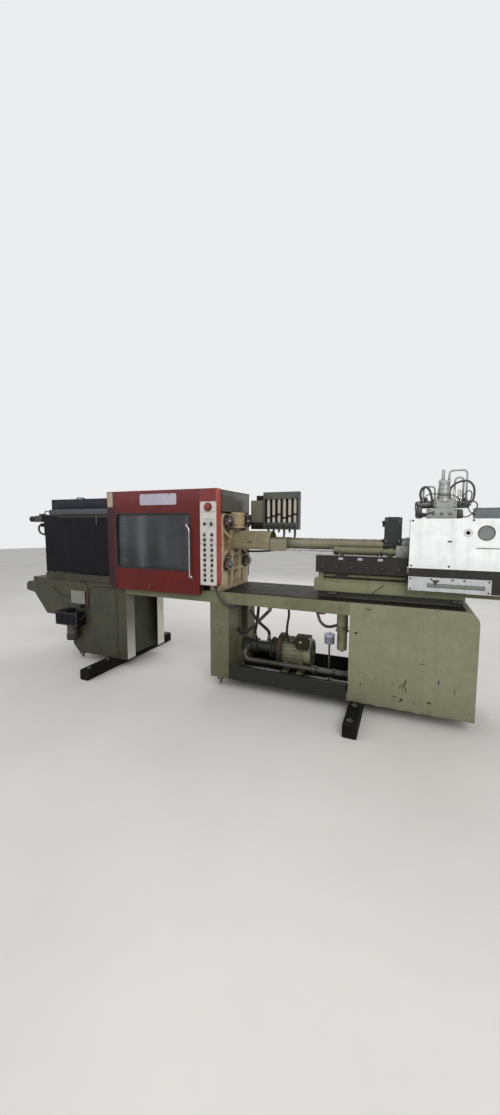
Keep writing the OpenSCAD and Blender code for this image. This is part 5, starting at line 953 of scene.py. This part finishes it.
print("dressing the fixed platen")
platen = {"barsAt": grid((-0.205, 0.205), (1.11, 1.49)), "washerRadius": 0.066, "washerHole": 0.0575,
    "plugRadius": 0.007, "lugBoltRadius": 0.008, "boltRadius": 0.011, "guardScrewRadius": 0.0045}
for bar in platen["barsAt"]:
    addFrame(circle(bar, platen["washerRadius"], 32), circle(bar, platen["washerHole"], 32), "x", 0.0312,
        0.006)
makePiece("tieBarWashers", "bareSteel")
putBolts("tieBarPlugs", onFace(right, 0.091, platen["barsAt"], platen["plugRadius"]))
putBolts("nozzleLugBolts", onFace(right, 0.071, grid((-0.085, 0.085), (1.46, 1.545)),
    platen["lugBoltRadius"]))
putBolts("platenBolts", onFace(up, 0.91, grid((-0.055, 0.0), (-0.268, 0.268)), platen["boltRadius"]))
putScrews("guardScrews", onFace(right, 0.0352, grid((-0.24, -0.08, 0.08, 0.24), (1.598, 1.748)),
    platen["guardScrewRadius"]), headHeight=0.45)
addBlock((0.03, -0.284, 1.5775), (0.0345, 0.284, 1.592), 0.001)
makePiece("guardPaneFoot", "frameGrey")

print("dressing the flow regulator")
regulator = {"firstTube": 0.261, "pitch": 0.0536, "count": 6, "y": 0.2575, "foot": 1.483}
tubesAt = [regulator["firstTube"] + regulator["pitch"] * i for i in range(regulator["count"])]
tubeY, tubeFoot = regulator["y"], regulator["foot"]
for x in tubesAt:
    addTurned((x, tubeY, tubeFoot), up, [(0, 0.016), (0.012, 0.0162), (0.014, 0.0156), (0.212, 0.0156),
        (0.214, 0.0162), (0.225, 0.016)], 20)
makePiece("flowTubes", "flowGlass")
for i, x in enumerate(tubesAt):
    addTurned((x, tubeY - 0.0008, tubeFoot + 0.035 + 0.016 * (i % 3)), up,
        [(0, 0.015), (0.01, 0.0162), (0.02, 0.0162), (0.022, 0.015)], 16)
makePiece("flowFloats", "cupBrown")
addBlock((0.2285, 0.2803, 1.4825), (0.5615, 0.2845, 1.7085), 0.0006)
for x in tubesAt[::2]:
    addBlock((x + 0.0193, 0.2635, 1.4825), (x + 0.0343, 0.281, 1.529), 0.001)
makePiece("regulatorBacking", "backing")
addBlock((0.0805, 0.2448, 1.483), (0.2147, 0.27, 1.6988), 0.0012)
for x in (0.096, 0.118, 0.145, 0.172, 0.197):
    addTube(between((x, 0.2448, 1.486), (x, 0.2448, 1.696), 3), 0.0042, 8)
makePiece("regulatorSideBlock", "fittingOlive")
addBlock((0.0805, 0.2446, 1.417), (0.2147, 0.2702, 1.4826), 0.0012)
addBlock((0.139, 0.2446, 1.6992), (0.2147, 0.2702, 1.7445), 0.0012)
for x in (0.1, 0.15, 0.195):
    addTurned((x, 0.2448, 1.45), front, plug(0.013, 0.006, 0.009, 0.02, 0.009, 0.002), 12)
addTurned((0.176, 0.2448, 1.72), front, plug(0.017, 0.008, 0.012, 0.022, 0.011, 0.002), 12)
makePiece("regulatorFittings", "backing")
for x in tubesAt:
    addTurned((x, 0.2195, 1.45), front, [(0, 0.0125), (0.004, 0.015), (0.013, 0.015), (0.0155, 0.0125)], 14)
makePiece("flowKnobs", "capBlack")
for x in tubesAt:
    addTurned((x, tubeY, 1.4005), down, [(0, 0.0075), (0.0008, 0.0105), (0.006, 0.0085), (0.007, 0.0105),
        (0.013, 0.0085)], 14)
makePiece("flowNipples", "brass")
putScrews("regulatorScrews", onFace(front, 0.22, grid((0.235, 0.395, 0.555), (1.724, 1.758)), 0.0045),
    headHeight=0.45)
putCollars("hoseClips", [between((x, tubeY, 1.396), (x, tubeY, 1.38), 2) for x in tubesAt[1::2]],
    "bareSteel", 0.008, 0.0118, 0.005)

print("dressing the injection unit")
injection = {"hole": (1.887, 1.416), "window": (1.993, 1.416), "bezel": 0.028, "meshWires": 22,
    "wireRadius": 0.0007}
hole, window = injection["hole"], injection["window"]
addFrame(circle(hole, injection["bezel"]), circle(hole, 0.0122), "y", -0.3085, 0.002)
makePiece("inspectionBezel", "bezelGrey", "carriage", bevel=0.0006)
addFrame(circle(window, 0.0505), circle(window, 0.0445), "y", -0.3095, 0.003)
makePiece("windowRim", "frameGrey", "carriage", bevel=0.0006)
addPlate(circle(window, 0.052), "y", -0.3048, 0.001)
makePiece("windowBack", "meshGrey", "carriage")
growPiece("windowScreen", screenWires, pointMesh("screenPlace", [(window[0], -0.3062, window[1])]),
    {"radius": 0.0455, "count": injection["meshWires"], "wireRadius": injection["wireRadius"]}, "wireGrey",
    "carriage")
frontScrews = ((1.545, 1.498), (1.916, 1.501), (1.545, 1.18), (1.783, 1.183), (2.16, 1.184), (2.435, 1.184),
    (2.3, 1.5), (2.435, 1.5))
coverScrews = onFace(front, -0.307, frontScrews, 0.0055)
for way, level, us in ((back, 0.307, (1.545, 1.85, 2.16, 2.435)), (right, 2.45, (-0.28, 0.0, 0.28)),
        (left, 1.53, (-0.28, 0.28))):
    coverScrews += onFace(way, level, grid(us, (1.182, 1.498)), 0.0055)
putScrews("injectionCoverScrews", coverScrews, "capBlack", "carriage")
addBlock((1.768, -0.3105, 1.3525), (1.796, -0.3065, 1.3585), 0.001)
addTurned((1.782, -0.3065, 1.3555), front, [(0, 0.006), (0.006, 0.006), (0.008, 0.004)], 12)
makePiece("coverCatch", "bareScuff", "carriage")
putSlats("endVents", [(2.4505, y, 1.27) for y in (-0.12, 0.12)], "coverPaint", count=7, rise=0.02,
    slatSize=(0.006, 0.16, 0.006), slant=(0.0, 0.7, 0.0), body="carriage")
putSlats("rearVents", [(x, 0.3075, 1.25) for x in (2.05, 2.3)], "coverPaint", count=8, rise=0.018,
    slatSize=(0.17, 0.006, 0.005), slant=(0.7, 0.0, 0.0), body="carriage")
addBlock((1.6515, -0.3032, 1.032), (2.0035, -0.3002, 1.057), 0.001)
makePiece("scaleBar", "scaleGrey", "carriage")
for k in range(36):
    x = 1.662 + 0.0095 * k
    addBlock((x, -0.3037, 1.034), (x + 0.0009, -0.3031, 1.046 if k % 5 else 1.053))
makePiece("scaleTicks", "capBlack", "carriage")
addPlate([(1.702, 1.044), (1.722, 1.078), (1.69, 1.078)], "y", -0.306, 0.0018)
addBlock((1.686, -0.3062, 1.072), (1.728, -0.304, 1.084), 0.001)
makePiece("scalePointer", "bareScuff", "carriage")
stripScrews = [(u, 1.089) for u in (1.545, 1.678, 1.81, 1.881, 2.026)] + [(1.545, 1.014), (2.026, 1.014)]
putScrews("stripScrews", onFace(front, -0.304, stripScrews, 0.005), "bareScuff", "carriage")
putBolts("housingBolts", [((1.65 + 0.12 * k, side * 0.3, 1.148), way, 0.007) for side, way in bothSides
    for k in range(6)], "darkPaint", "carriage")
addTurned((1.4745, 0, 1.3), right, [(0, 0.0605), (0.002, 0.0632), (0.034, 0.0632), (0.036, 0.07),
    (0.0535, 0.07), (0.0545, 0.064)], 40)
makePiece("barrelCollar", "neckPaint", "carriage")
putBolts("barrelCollarBolts", onFace(left, 1.5105, circle((0, 1.3), 0.0655, 8, 0.5), 0.0045),
    body="carriage")
for x in (0.575, 0.745, 0.925, 1.005, 1.185, 1.265):
    addFrame(circle((0, 1.3), 0.0525), circle((0, 1.3), 0.049), "x", x, 0.012)
    addBlock((x - 0.002, -0.0585, 1.262), (x + 0.014, -0.04, 1.272), 0.001)
makePiece("jacketStraps", "jacketSheet", "carriage")
putScrews("jacketScrews", [((0.598 + 0.034 * k, -0.01, 1.349), up, 0.0036) for k in range(20)],
    body="carriage", headHeight=0.7)
probesAt = [Vector((x, -0.0285, 1.2588)) for x in (0.66, 0.86, 1.1, 1.29)]
probeWay = Vector((0, -0.55, -0.83)).normalized()
for at in probesAt:
    addTurned(at, probeWay, plug(0.007, 0.01, 0.005, 0.024, 0.0045), 10)
makePiece("heaterProbes", "brass", "carriage")
for at in probesAt:
    start, goal = at + probeWay * 0.022, Vector((max(at.x + 0.03, 0.88), -0.165, 1.2185))
    addPipe([start, start + Vector((0.0, -0.01, -0.012)), (start + goal) / 2 + Vector((0, 0, -0.01)),
        goal + Vector((0, 0.012, 0.012)), goal], 0.0026, 8)
makePiece("heaterLines", "paleTube", "carriage")
for x in (1.02, 1.166, 1.314):
    addPlate(roundOutline((x, 1.1915), (x + 0.036, 1.2105), 0.002), "y", -0.217, 0.0012)
makePiece("terminalTags", "barePlate", "carriage")
for k in range(6):
    addTurned((0.9 + 0.112 * k, -0.2305, 1.134), front, plug(0.0125, 0.008, 0.0085, 0.018, 0.0075), 12)
makePiece("terminalPlugs", "capBlack", "carriage")
putScrews("terminalScrews", [((u, -0.216, 1.2175), front, 0.0028) for u in (0.86, 1.18, 1.5)],
    body="carriage")
addFrame(circle((1.409, 0.0), 0.044), circle((1.409, 0.0), 0.0305), "z", 1.5252, 0.004)
makePiece("hopperSeat", "bareSteel", "carriage")
for z in (1.345, 1.49):
    addTurned((1.345, -0.035, z), left, plug(0.011, 0.01, 0.0075, 0.022, 0.007), 12)
makePiece("throatFittings", "oilySteel", "carriage")
putBolts("feedBlockScrews", onFace(front, -0.06, grid((1.362, 1.456), (1.34, 1.5)), 0.007), body="carriage")
for x in (0.975, 1.325, 1.4):
    addTurned((x, -0.085, 1.253), right, [(0, 0.033), (0.003, 0.0345), (0.014, 0.0345), (0.017, 0.033)], 28)
for x in (0.99, 1.335):
    addTurned((x, -0.116, 1.253), front, plug(0.01, 0.01, 0.007, 0.018), 12)
makePiece("pullCylinderBands", "carriagePaint", "carriage")
addBlock((1.4375, -0.115, 1.15), (1.528, -0.058, 1.305), 0.0016)
for z in (1.172, 1.214, 1.285):
    addTurned((1.47, -0.115, z), front, plug(0.0085, 0.003, 0.006, 0.007), 6)
addTurned((1.4375, -0.085, 1.253), left, [(-0.001, 0.0255), (0.003, 0.027), (0.009, 0.027),
    (0.011, 0.0245)], 28)
makePiece("portBlock", "neckPaint", "carriage")
for x, reach in ((0.99, 1.06), (1.335, 1.42)):
    addPipe([(x, -0.1335, 1.253), (x, -0.15, 1.252), (x + 0.018, -0.168, 1.246), (x + 0.04, -0.178, 1.234),
        (reach, -0.18, 1.2185)], 0.006, 10)
makePiece("pullHoses", "hoseRubber", "carriage")

print("dressing the valves on top")
stack = {"coilHeight": 1.622, "coilRadius": 0.0315, "ribPitch": 0.0085}
putCollars("valveCoilRibs", [between((x0, 0, stack["coilHeight"]), (x1, 0, stack["coilHeight"]), 2)
    for x0, x1 in ((1.59, 1.662), (1.852, 1.91))], "capBlack", stack["ribPitch"], stack["coilRadius"],
    0.0042, "carriage")
for x in (1.626, 1.882):
    addBlock((x - 0.02, -0.015, 1.646), (x + 0.02, 0.015, 1.674), 0.003)
    addTurned((x - 0.006, -0.014, 1.662), front, plug(0.008, 0.01, 0.006, 0.02, 0.005, 0.002), 10)
addBlock((1.562, -0.046, 1.528), (1.596, -0.02, 1.584), 0.004)
addBlock((1.598, -0.048, 1.524), (1.632, -0.014, 1.56), 0.004)
addBlock((1.8455, -0.05, 1.598), (1.8995, -0.024, 1.64), 0.004)
addBlock((1.848, -0.046, 1.52), (1.884, -0.019, 1.572), 0.004)
addTurned((1.579, -0.033, 1.584), up, plug(0.009, 0.012, 0.006, 0.024, 0.005, 0.002), 10)
makePiece("valvePlugs", "capBlack", "carriage")
addPipe([(1.69, -0.04, 1.602), (1.676, -0.052, 1.63), (1.668, -0.058, 1.68), (1.652, -0.058, 1.728),
    (1.628, -0.056, 1.75), (1.602, -0.052, 1.738), (1.592, -0.046, 1.7), (1.6, -0.04, 1.66),
    (1.612, -0.034, 1.64)], 0.0085)
addPipe([(1.925, 0.004, 1.628), (1.945, -0.004, 1.65), (1.952, -0.01, 1.7), (1.944, -0.008, 1.752),
    (1.916, -0.004, 1.786), (1.88, 0.0, 1.792), (1.842, 0.006, 1.782), (1.812, 0.01, 1.76),
    (1.792, 0.012, 1.72)], 0.0075)
addPipe([(1.579, -0.033, 1.606), (1.579, -0.034, 1.622), (1.566, -0.04, 1.64), (1.56, -0.046, 1.6),
    (1.572, -0.054, 1.56), (1.61, -0.064, 1.548), (1.66, -0.066, 1.556), (1.69, -0.06, 1.566)], 0.0042, 10)
addPipe([(1.87, -0.05, 1.622), (1.88, -0.066, 1.624), (1.905, -0.076, 1.632), (1.94, -0.074, 1.638),
    (1.966, -0.064, 1.618), (1.96, -0.06, 1.58), (1.93, -0.064, 1.545), (1.905, -0.062, 1.528),
    (1.884, -0.05, 1.53), (1.87, -0.044, 1.548)], 0.0046, 10)
addPipe([(1.876, -0.014, 1.664), (1.874, -0.034, 1.668), (1.884, -0.048, 1.69), (1.91, -0.05, 1.716),
    (1.932, -0.04, 1.7), (1.93, -0.03, 1.66), (1.914, -0.036, 1.61), (1.924, -0.05, 1.566),
    (1.958, -0.056, 1.548), (1.972, -0.052, 1.546)], 0.004, 10)
addPipe([(1.62, -0.028, 1.662), (1.62, -0.044, 1.664), (1.64, -0.056, 1.69), (1.69, -0.05, 1.7),
    (1.74, -0.052, 1.69), (1.8, -0.052, 1.688), (1.846, -0.05, 1.668), (1.858, -0.044, 1.64)], 0.0036, 10)
makePiece("valveHoses", "hoseRubber", "carriage")
for at, way in (((1.692, -0.038, 1.598), (-0.4, -0.3, 0.85)), ((1.922, 0.003, 1.624), (0.6, -0.2, 0.7)),
        ((1.79, 0.012, 1.716), (0.3, 0.0, 0.95)), ((1.613, -0.033, 1.638), (-0.2, -0.1, 0.95))):
    addTurned(at, way, [(0, 0.0125), (0.008, 0.0125), (0.009, 0.0105), (0.026, 0.0105), (0.028, 0.009)], 12)
for x, z0, z1, y in ((1.785, 1.79, 1.812, 0.0), (1.902, 1.65, 1.668, 0.0), (1.826, 1.642, 1.66, 0.012),
        (1.882, 1.65, 1.668, 0.012), (1.614, 1.65, 1.668, -0.028), (1.692, 1.642, 1.66, -0.028)):
    addTurned((x, y, z0), up, [(0, 0.0125), (0.01, 0.0125), (0.011, 0.0105), (z1 - z0, 0.01)], 6)
makePiece("pipeNuts", "bareSteel", "carriage")
for x, radius in ((1.82, 0.0085), (1.852, 0.0085), (1.866, 0.0065)):
    addTube(between((x, -0.026, 1.641), (x, -0.026, 1.716), 3), radius, 12)
    addTurned((x, -0.026, 1.712), up, [(0, radius + 0.002), (0.008, radius + 0.002), (0.01, radius - 0.001),
        (0.018, 0.004)], 12)
addBlock((1.812, -0.036, 1.66), (1.874, -0.014, 1.672), 0.001)
makePiece("pilotTubes", "paleAlloy", "carriage")
putBolts("manifoldScrews", onFace(front, -0.06, grid((1.655, 1.83), (1.515, 1.578)), 0.0055)
    + onFace(front, -0.045, grid((1.7, 1.825), (1.602, 1.63)), 0.005)
    + onFace(up, 1.659, grid((1.704, 1.806), (-0.033, 0.033)), 0.0065), body="carriage")
for x in (1.687, 1.742, 1.797):
    addTurned((x, -0.058, 1.55), front, plug(0.0118, 0.003, 0.0085, 0.007), 6)
makePiece("portPlugs", "bareSteel", "carriage")
for z, r in ((1.668, 0.0505), (1.7, 0.0465), (1.732, 0.0425), (1.764, 0.0385)):
    addTurned((1.755, 0, z), up, [(0, r), (0.0015, r + 0.0022), (0.006, r + 0.002), (0.0075, r - 0.0008)],
        32)
makePiece("pilotBands", "castAlloy", "carriage")
addFrame(roundOutline((1.967, -0.064), (2.1145, 0.064), 0.006),
    roundOutline((1.974, -0.057), (2.107, 0.057), 0.004), "z", 1.59, 0.0018)
addTurned((1.9708, 0.0, 1.547), left, plug(0.013, 0.008, 0.009, 0.022, 0.008), 12)
makePiece("junctionTrim", "tealGrey", "carriage")
putScrews("junctionScrews", onFace(up, 1.5905, grid((1.98, 2.101), (-0.051, 0.051)), 0.0045),
    body="carriage")

print("dressing the motor and the pump")
drive = {"y": 0.01, "z": 0.33, "bellRadius": 0.148, "motorEnd": 0.78}
axle = (drive["y"], drive["z"])
flange = onFace(left, 0.406, circle(axle, 0.086, 8, 0.5), 0.0065)
for way, level in ((left, 0.5), (right, 0.522)):
    flange += onFace(way, level, circle(axle, 0.132, 8, 0.25), 0.008)
putBolts("driveFlangeBolts", flange)
addFrame(circle(axle, drive["bellRadius"] + 0.0012, 64), circle(axle, 0.1165, 64), "x", 0.4992, 0.0236)
makePiece("motorFlangeRim", "bellPaint", bevel=0.0012)
for r in (0.03, 0.048, 0.066, 0.084, 0.1):
    addFrame(circle(axle, r + 0.0025), circle(axle, r - 0.0025), "x", drive["motorEnd"] - 0.0005, 0.0035)
for inner, outer in zip(circle(axle, 0.028, 8), circle(axle, 0.104, 8)):
    addTube(between((drive["motorEnd"] + 0.002, *inner), (drive["motorEnd"] + 0.002, *outer)), 0.0028, 6)
makePiece("fanGrille", "pumpPaint")
lid = rectangle((0.6548, 0.3915), (0.7805, 0.4985))
addFrame(lid, rectangle((0.6628, 0.3995), (0.7725, 0.4905)), "y", -0.1275, 0.004)
addPlate(lid, "y", -0.125, 0.0012)
addPlate(rectangle((0.654, -0.1245), (0.7812, -0.021)), "z", 0.4978, 0.0012)
addTurned((0.655, -0.08, 0.43), left, plug(0.015, 0.012, 0.01, 0.03, 0.0085, 0.002), 12)
makePiece("motorTerminalLid", "boxBrown")
putScrews("motorTerminalScrews", onFace(front, -0.1275, grid((0.659, 0.7765), (0.3955, 0.4945)), 0.0045)
    + [((0.7, -0.125, 0.453), front, 0.0085)], "paleAlloy")
leadLine = [(0.626, -0.08, 0.43), (0.606, -0.082, 0.431), (0.585, -0.09, 0.445), (0.575, -0.105, 0.49),
    (0.58, -0.13, 0.56), (0.6, -0.17, 0.64), (0.622, -0.215, 0.71), (0.63, -0.25, 0.757),
    (0.63, -0.262, 0.778)]
addPipe(leadLine, 0.0085)
makePiece("motorLead", "cableRubber")
putCollars("motorLeadRibs", [smoothRoute(leadLine[1:-1], 8)], "cableRubber", 0.0055, 0.01, 0.003)
for x, top, r in ((0.226, 0.4205, 0.022), (0.366, 0.4065, 0.018)):
    addTurned((x, drive["y"], top - 0.03), up, [(0, r + 0.001), (0.002, r + 0.006), (0.02, r + 0.006),
        (0.022, r - 0.002), (0.03, r - 0.006)], 6)
addTurned((0.108, drive["y"], drive["z"]), left, plug(0.036, 0.004, 0.03, 0.012, 0.028, 0.002), 24)
makePiece("pumpNuts", "bareSteel")
hoseLines = {"stage": ((0.292, -0.285, 0.776), (0.292, -0.285, 0.75), (0.325, -0.238, 0.662),
    (0.35, -0.185, 0.601), (0.376, -0.08, 0.52), (0.366, 0.01, 0.46), (0.366, 0.01, 0.406)),
    "leg": ((0.475, -0.285, 0.776), (0.475, -0.285, 0.752), (0.376, -0.262, 0.65), (0.298, -0.232, 0.572),
    (0.193, -0.182, 0.492), (0.13, -0.128, 0.487), (0.094, -0.085, 0.5), (0.058, -0.085, 0.5)),
    "outlet": ((0.322, -0.15, 0.876), (0.322, -0.15, 0.836), (0.318, -0.145, 0.726), (0.295, -0.118, 0.598),
    (0.246, -0.04, 0.482), (0.226, 0.01, 0.444), (0.226, 0.01, 0.42))}
for line in hoseLines.values():
    for end, inner in ((line[0], line[1]), (line[-1], line[-2])):
        addTurned(end, Vector(inner) - Vector(end), [(0, 0.0145), (0.001, 0.0165), (0.01, 0.0165),
            (0.011, 0.0155), (0.034, 0.0155), (0.036, 0.0142)], 14)
makePiece("hoseCrimps", "bareSteel")
for name, line in hoseLines.items():
    putCollars(name + "HoseWinds", [smoothRoute(line, 8)[5:-5]], "hoseRubber", 0.012, 0.0142, 0.0035)
addTurned((0.941, -0.085, 0.531), up, [(-0.001, 0.0425), (0.002, 0.044), (0.014, 0.044), (0.018, 0.0405),
    (0.02, 0.012), (0.03, 0.01)], 36)
makePiece("fillerCap", "capPaleBlue")
putCollars("fillerCapRibs", [between((0.941, -0.085, 0.474), (0.941, -0.085, 0.526), 2)], "capPaleBlue",
    0.0105, 0.0432, 0.005)
for x in (0.84, 0.985):
    addTurned((x, -0.142, 0.24), right, [(0, 0.0235), (0.001, 0.0285), (0.018, 0.0285), (0.019, 0.0235)],
        28)
    addBlock((x + 0.002, -0.15, 0.212), (x + 0.017, -0.134, 0.2645), 0.002)
makePiece("suctionClamps", "pumpPaint")
addTube(between((0.852, -0.142, 0.24), (1.072, -0.142, 0.24), 6), 0.0229, 28)
makePiece("suctionSleeve", "frameGrey")
addTurned((1.032, 0.0, 0.59), up, [(0, 0.0475), (0.002, 0.05), (0.012, 0.05), (0.014, 0.0475)], 32)
addTurned((1.032, 0.0, 0.712), up, [(0, 0.0475), (0.002, 0.0495), (0.01, 0.0495), (0.012, 0.0475)], 32)
makePiece("filterBands", "motorPaint")
putBolts("filterBolts", onFace(down, 0.56, circle((1.032, 0), 0.0505, 6), 0.0045))
returnLine = [(0.835, -0.1, 0.776), (0.835, -0.1, 0.748), (0.846, -0.098, 0.69), (0.868, -0.092, 0.64),
    (0.905, -0.07, 0.606), (0.945, -0.036, 0.598), (0.975, -0.012, 0.604), (0.988, -0.004, 0.606)]
addPipe(returnLine, 0.012, 14)
makePiece("returnHose", "hoseRubber")
putCollars("returnHoseWire", [smoothRoute(returnLine[1:-2] + [(0.972, -0.013, 0.603)], 8)], "paleAlloy",
    0.0115, 0.0132, 0.0032)
addBlock((0.866, -0.292, 0.759), (0.93, -0.2795, 0.7765), 0.0025)
addBlock((0.929, -0.2895, 0.762), (0.941, -0.282, 0.774), 0.002)
addTurned((0.882, -0.2915, 0.768), front, [(0, 0.006), (0.006, 0.006), (0.008, 0.0045)], 12)
addTurned((0.912, -0.2915, 0.768), front, [(0, 0.0045), (0.004, 0.0045), (0.005, 0.0035)], 10)
makePiece("beamRedTag", "agedRed")

print("dressing the base and the slides")
skid = {"top": 0.1, "boltRows": (-1.23, 1.19), "boltColumns": (-0.6, -0.36, 0.36, 0.6),
    "boltRadius": 0.014, "washerRadius": 1.8}
putBolts("skidBolts", onFace(up, skid["top"], grid(skid["boltRows"], skid["boltColumns"]),
    skid["boltRadius"]), washerRadius=skid["washerRadius"])
rail = {"side": 0.187, "plateSide": 0.2082, "firstBolt": 0.89, "boltPitch": 0.108, "boltHeight": 0.9195,
    "boltRadius": 0.0055}
for x0, x1 in ((0.944, 1.01), (1.826, 1.892)):
    addTwins((x0, 0.2045, 0.9095), (x1, rail["plateSide"], 0.9275), 0.0008)
makePiece("railStopPlates", "carriagePaint")
putBolts("railStopBolts", [((x, side * rail["plateSide"], 0.9185), way, 0.005)
    for side, way in bothSides for x in (0.96, 0.994, 1.842, 1.876)])
addTwins((0.862, rail["side"], 0.8835), (1.884, rail["side"] + 0.003, 0.8955), 0.0008)
makePiece("railEdges", "oilySteel")
putBolts("railBolts", [((rail["firstBolt"] + rail["boltPitch"] * k, side * rail["side"],
    rail["boltHeight"]), way, rail["boltRadius"]) for side, way in bothSides
    for k in range(9) if k != 1], "pumpPaint")
# a weld bead along the cheek's slant, dark to paint the shadow in the gap
addTube(between((1.274, -0.2135, 0.937), (1.361, -0.2135, 1.0125), 16),
    [0.0022 + 0.0008 * math.sin(k * 2.1) for k in range(16)], 8)
makePiece("cheekWeldShadow", "bareScuff")
for x in (-1.05, -0.65, -0.25):
    addTube(between((x, -0.3, 1.7658), (x, 0.3, 1.7658), 3), 0.0035, 8)
makePiece("guardRoofBeads", "shadedPaint")
putScrews("guardRoofScrews", onFace(up, 1.765, grid((-1.17, -0.86, -0.55, -0.24), (-0.315, 0.315)), 0.005),
    "shadedPaint", headHeight=0.45)

# floor, light and camera
stageSettings = {"floorTint": (214, 213, 209), "backTint": (236, 237, 238), "ambient": 0.62}
camera = {"place": (1.5, -3.163, 1.47525), "yaw": 22.748, "pitch": 5.274, "roll": 0.1826,
    "lens": 370.16 * 36 / 1115}
lamps = [  # name, place, looks at, size, watts
    ("keyLight", (3.4, -5.2, 4.6), (0.6, 0.0, 0.9), 3.6, 210.0),
    ("fillLight", (-3.8, -4.6, 3.4), (-1.2, 0.0, 0.9), 3.2, 60.0),
    ("backLight", (-0.5, 4.6, 4.2), (0.0, 0.0, 1.0), 4.0, 120.0),
]


def lightStage(settings):
    floorMesh = bpy.data.meshes.new("floor")
    bm = bmesh.new()
    bmesh.ops.create_circle(bm, cap_ends=True, radius=22.0, segments=96)
    bm.to_mesh(floorMesh)
    bm.free()
    floor = bpy.data.objects.new("floor", floorMesh)
    scene.collection.objects.link(floor)
    tree, shader = emptyMaterial("floorPaint")
    place = objectPlace(tree)
    tint = mixColour(tree, remap(tree, noiseValue(tree, place, 0.8, 6.0), 0.35, 0.65),
        settings["floorTint"], scaled(settings["floorTint"], 0.965))
    fillNode(tree, shader, {"Roughness": 0.75}, {"Base Color": tint})
    floorMesh.materials.append(looks["floorPaint"])
    world = bpy.data.worlds.new("studio")
    world.use_nodes = True
    scene.world = world
    tree = world.node_tree
    tree.nodes.clear()
    path = addNode(tree, "ShaderNodeLightPath")
    seen = mathNode(tree, "MAXIMUM", path.outputs["Is Camera Ray"],
        mathNode(tree, "MAXIMUM", path.outputs["Is Glossy Ray"], path.outputs["Is Transmission Ray"]))
    light = addNode(tree, "ShaderNodeBackground", {"Color": (1, 1, 1, 1), "Strength": settings["ambient"]})
    shown = addNode(tree, "ShaderNodeBackground", {"Strength": 1.0})
    plugIn(tree, shown, ((0, settings["backTint"]),))
    mix = addNode(tree, "ShaderNodeMixShader", None, {0: seen, 1: light, 2: shown})
    addNode(tree, "ShaderNodeOutputWorld", None, {"Surface": mix})
    for name, at, target, size, watts in lamps:
        data = bpy.data.lights.new(name, "AREA")
        data.size = size
        data.energy = watts
        lamp = bpy.data.objects.new(name, data)
        lamp.location = at
        lamp.rotation_euler = (Vector(target) - Vector(at)).to_track_quat("-Z", "Y").to_euler()
        scene.collection.objects.link(lamp)


def placeCamera(settings):
    yaw, pitch, roll = (math.radians(settings[k]) for k in ("yaw", "pitch", "roll"))
    forward = Vector((-math.sin(yaw) * math.cos(pitch), math.cos(yaw) * math.cos(pitch), -math.sin(pitch)))
    side = Vector((math.cos(yaw), math.sin(yaw), 0.0))
    up = side.cross(forward)
    right = math.cos(roll) * side + math.sin(roll) * up
    top = -math.sin(roll) * side + math.cos(roll) * up
    data = bpy.data.cameras.new("camera")
    data.lens = settings["lens"]
    data.sensor_width = 36.0
    data.clip_start, data.clip_end = 0.05, 100.0
    viewer = bpy.data.objects.new("camera", data)
    viewer.matrix_world = Matrix.Translation(settings["place"]) @ Matrix((right, top,
        -forward)).transposed().to_4x4()
    scene.collection.objects.link(viewer)
    scene.camera = viewer


print("setting up floor, light and camera")
lightStage(stageSettings)
placeCamera(camera)
scene.view_settings.view_transform = "Standard"
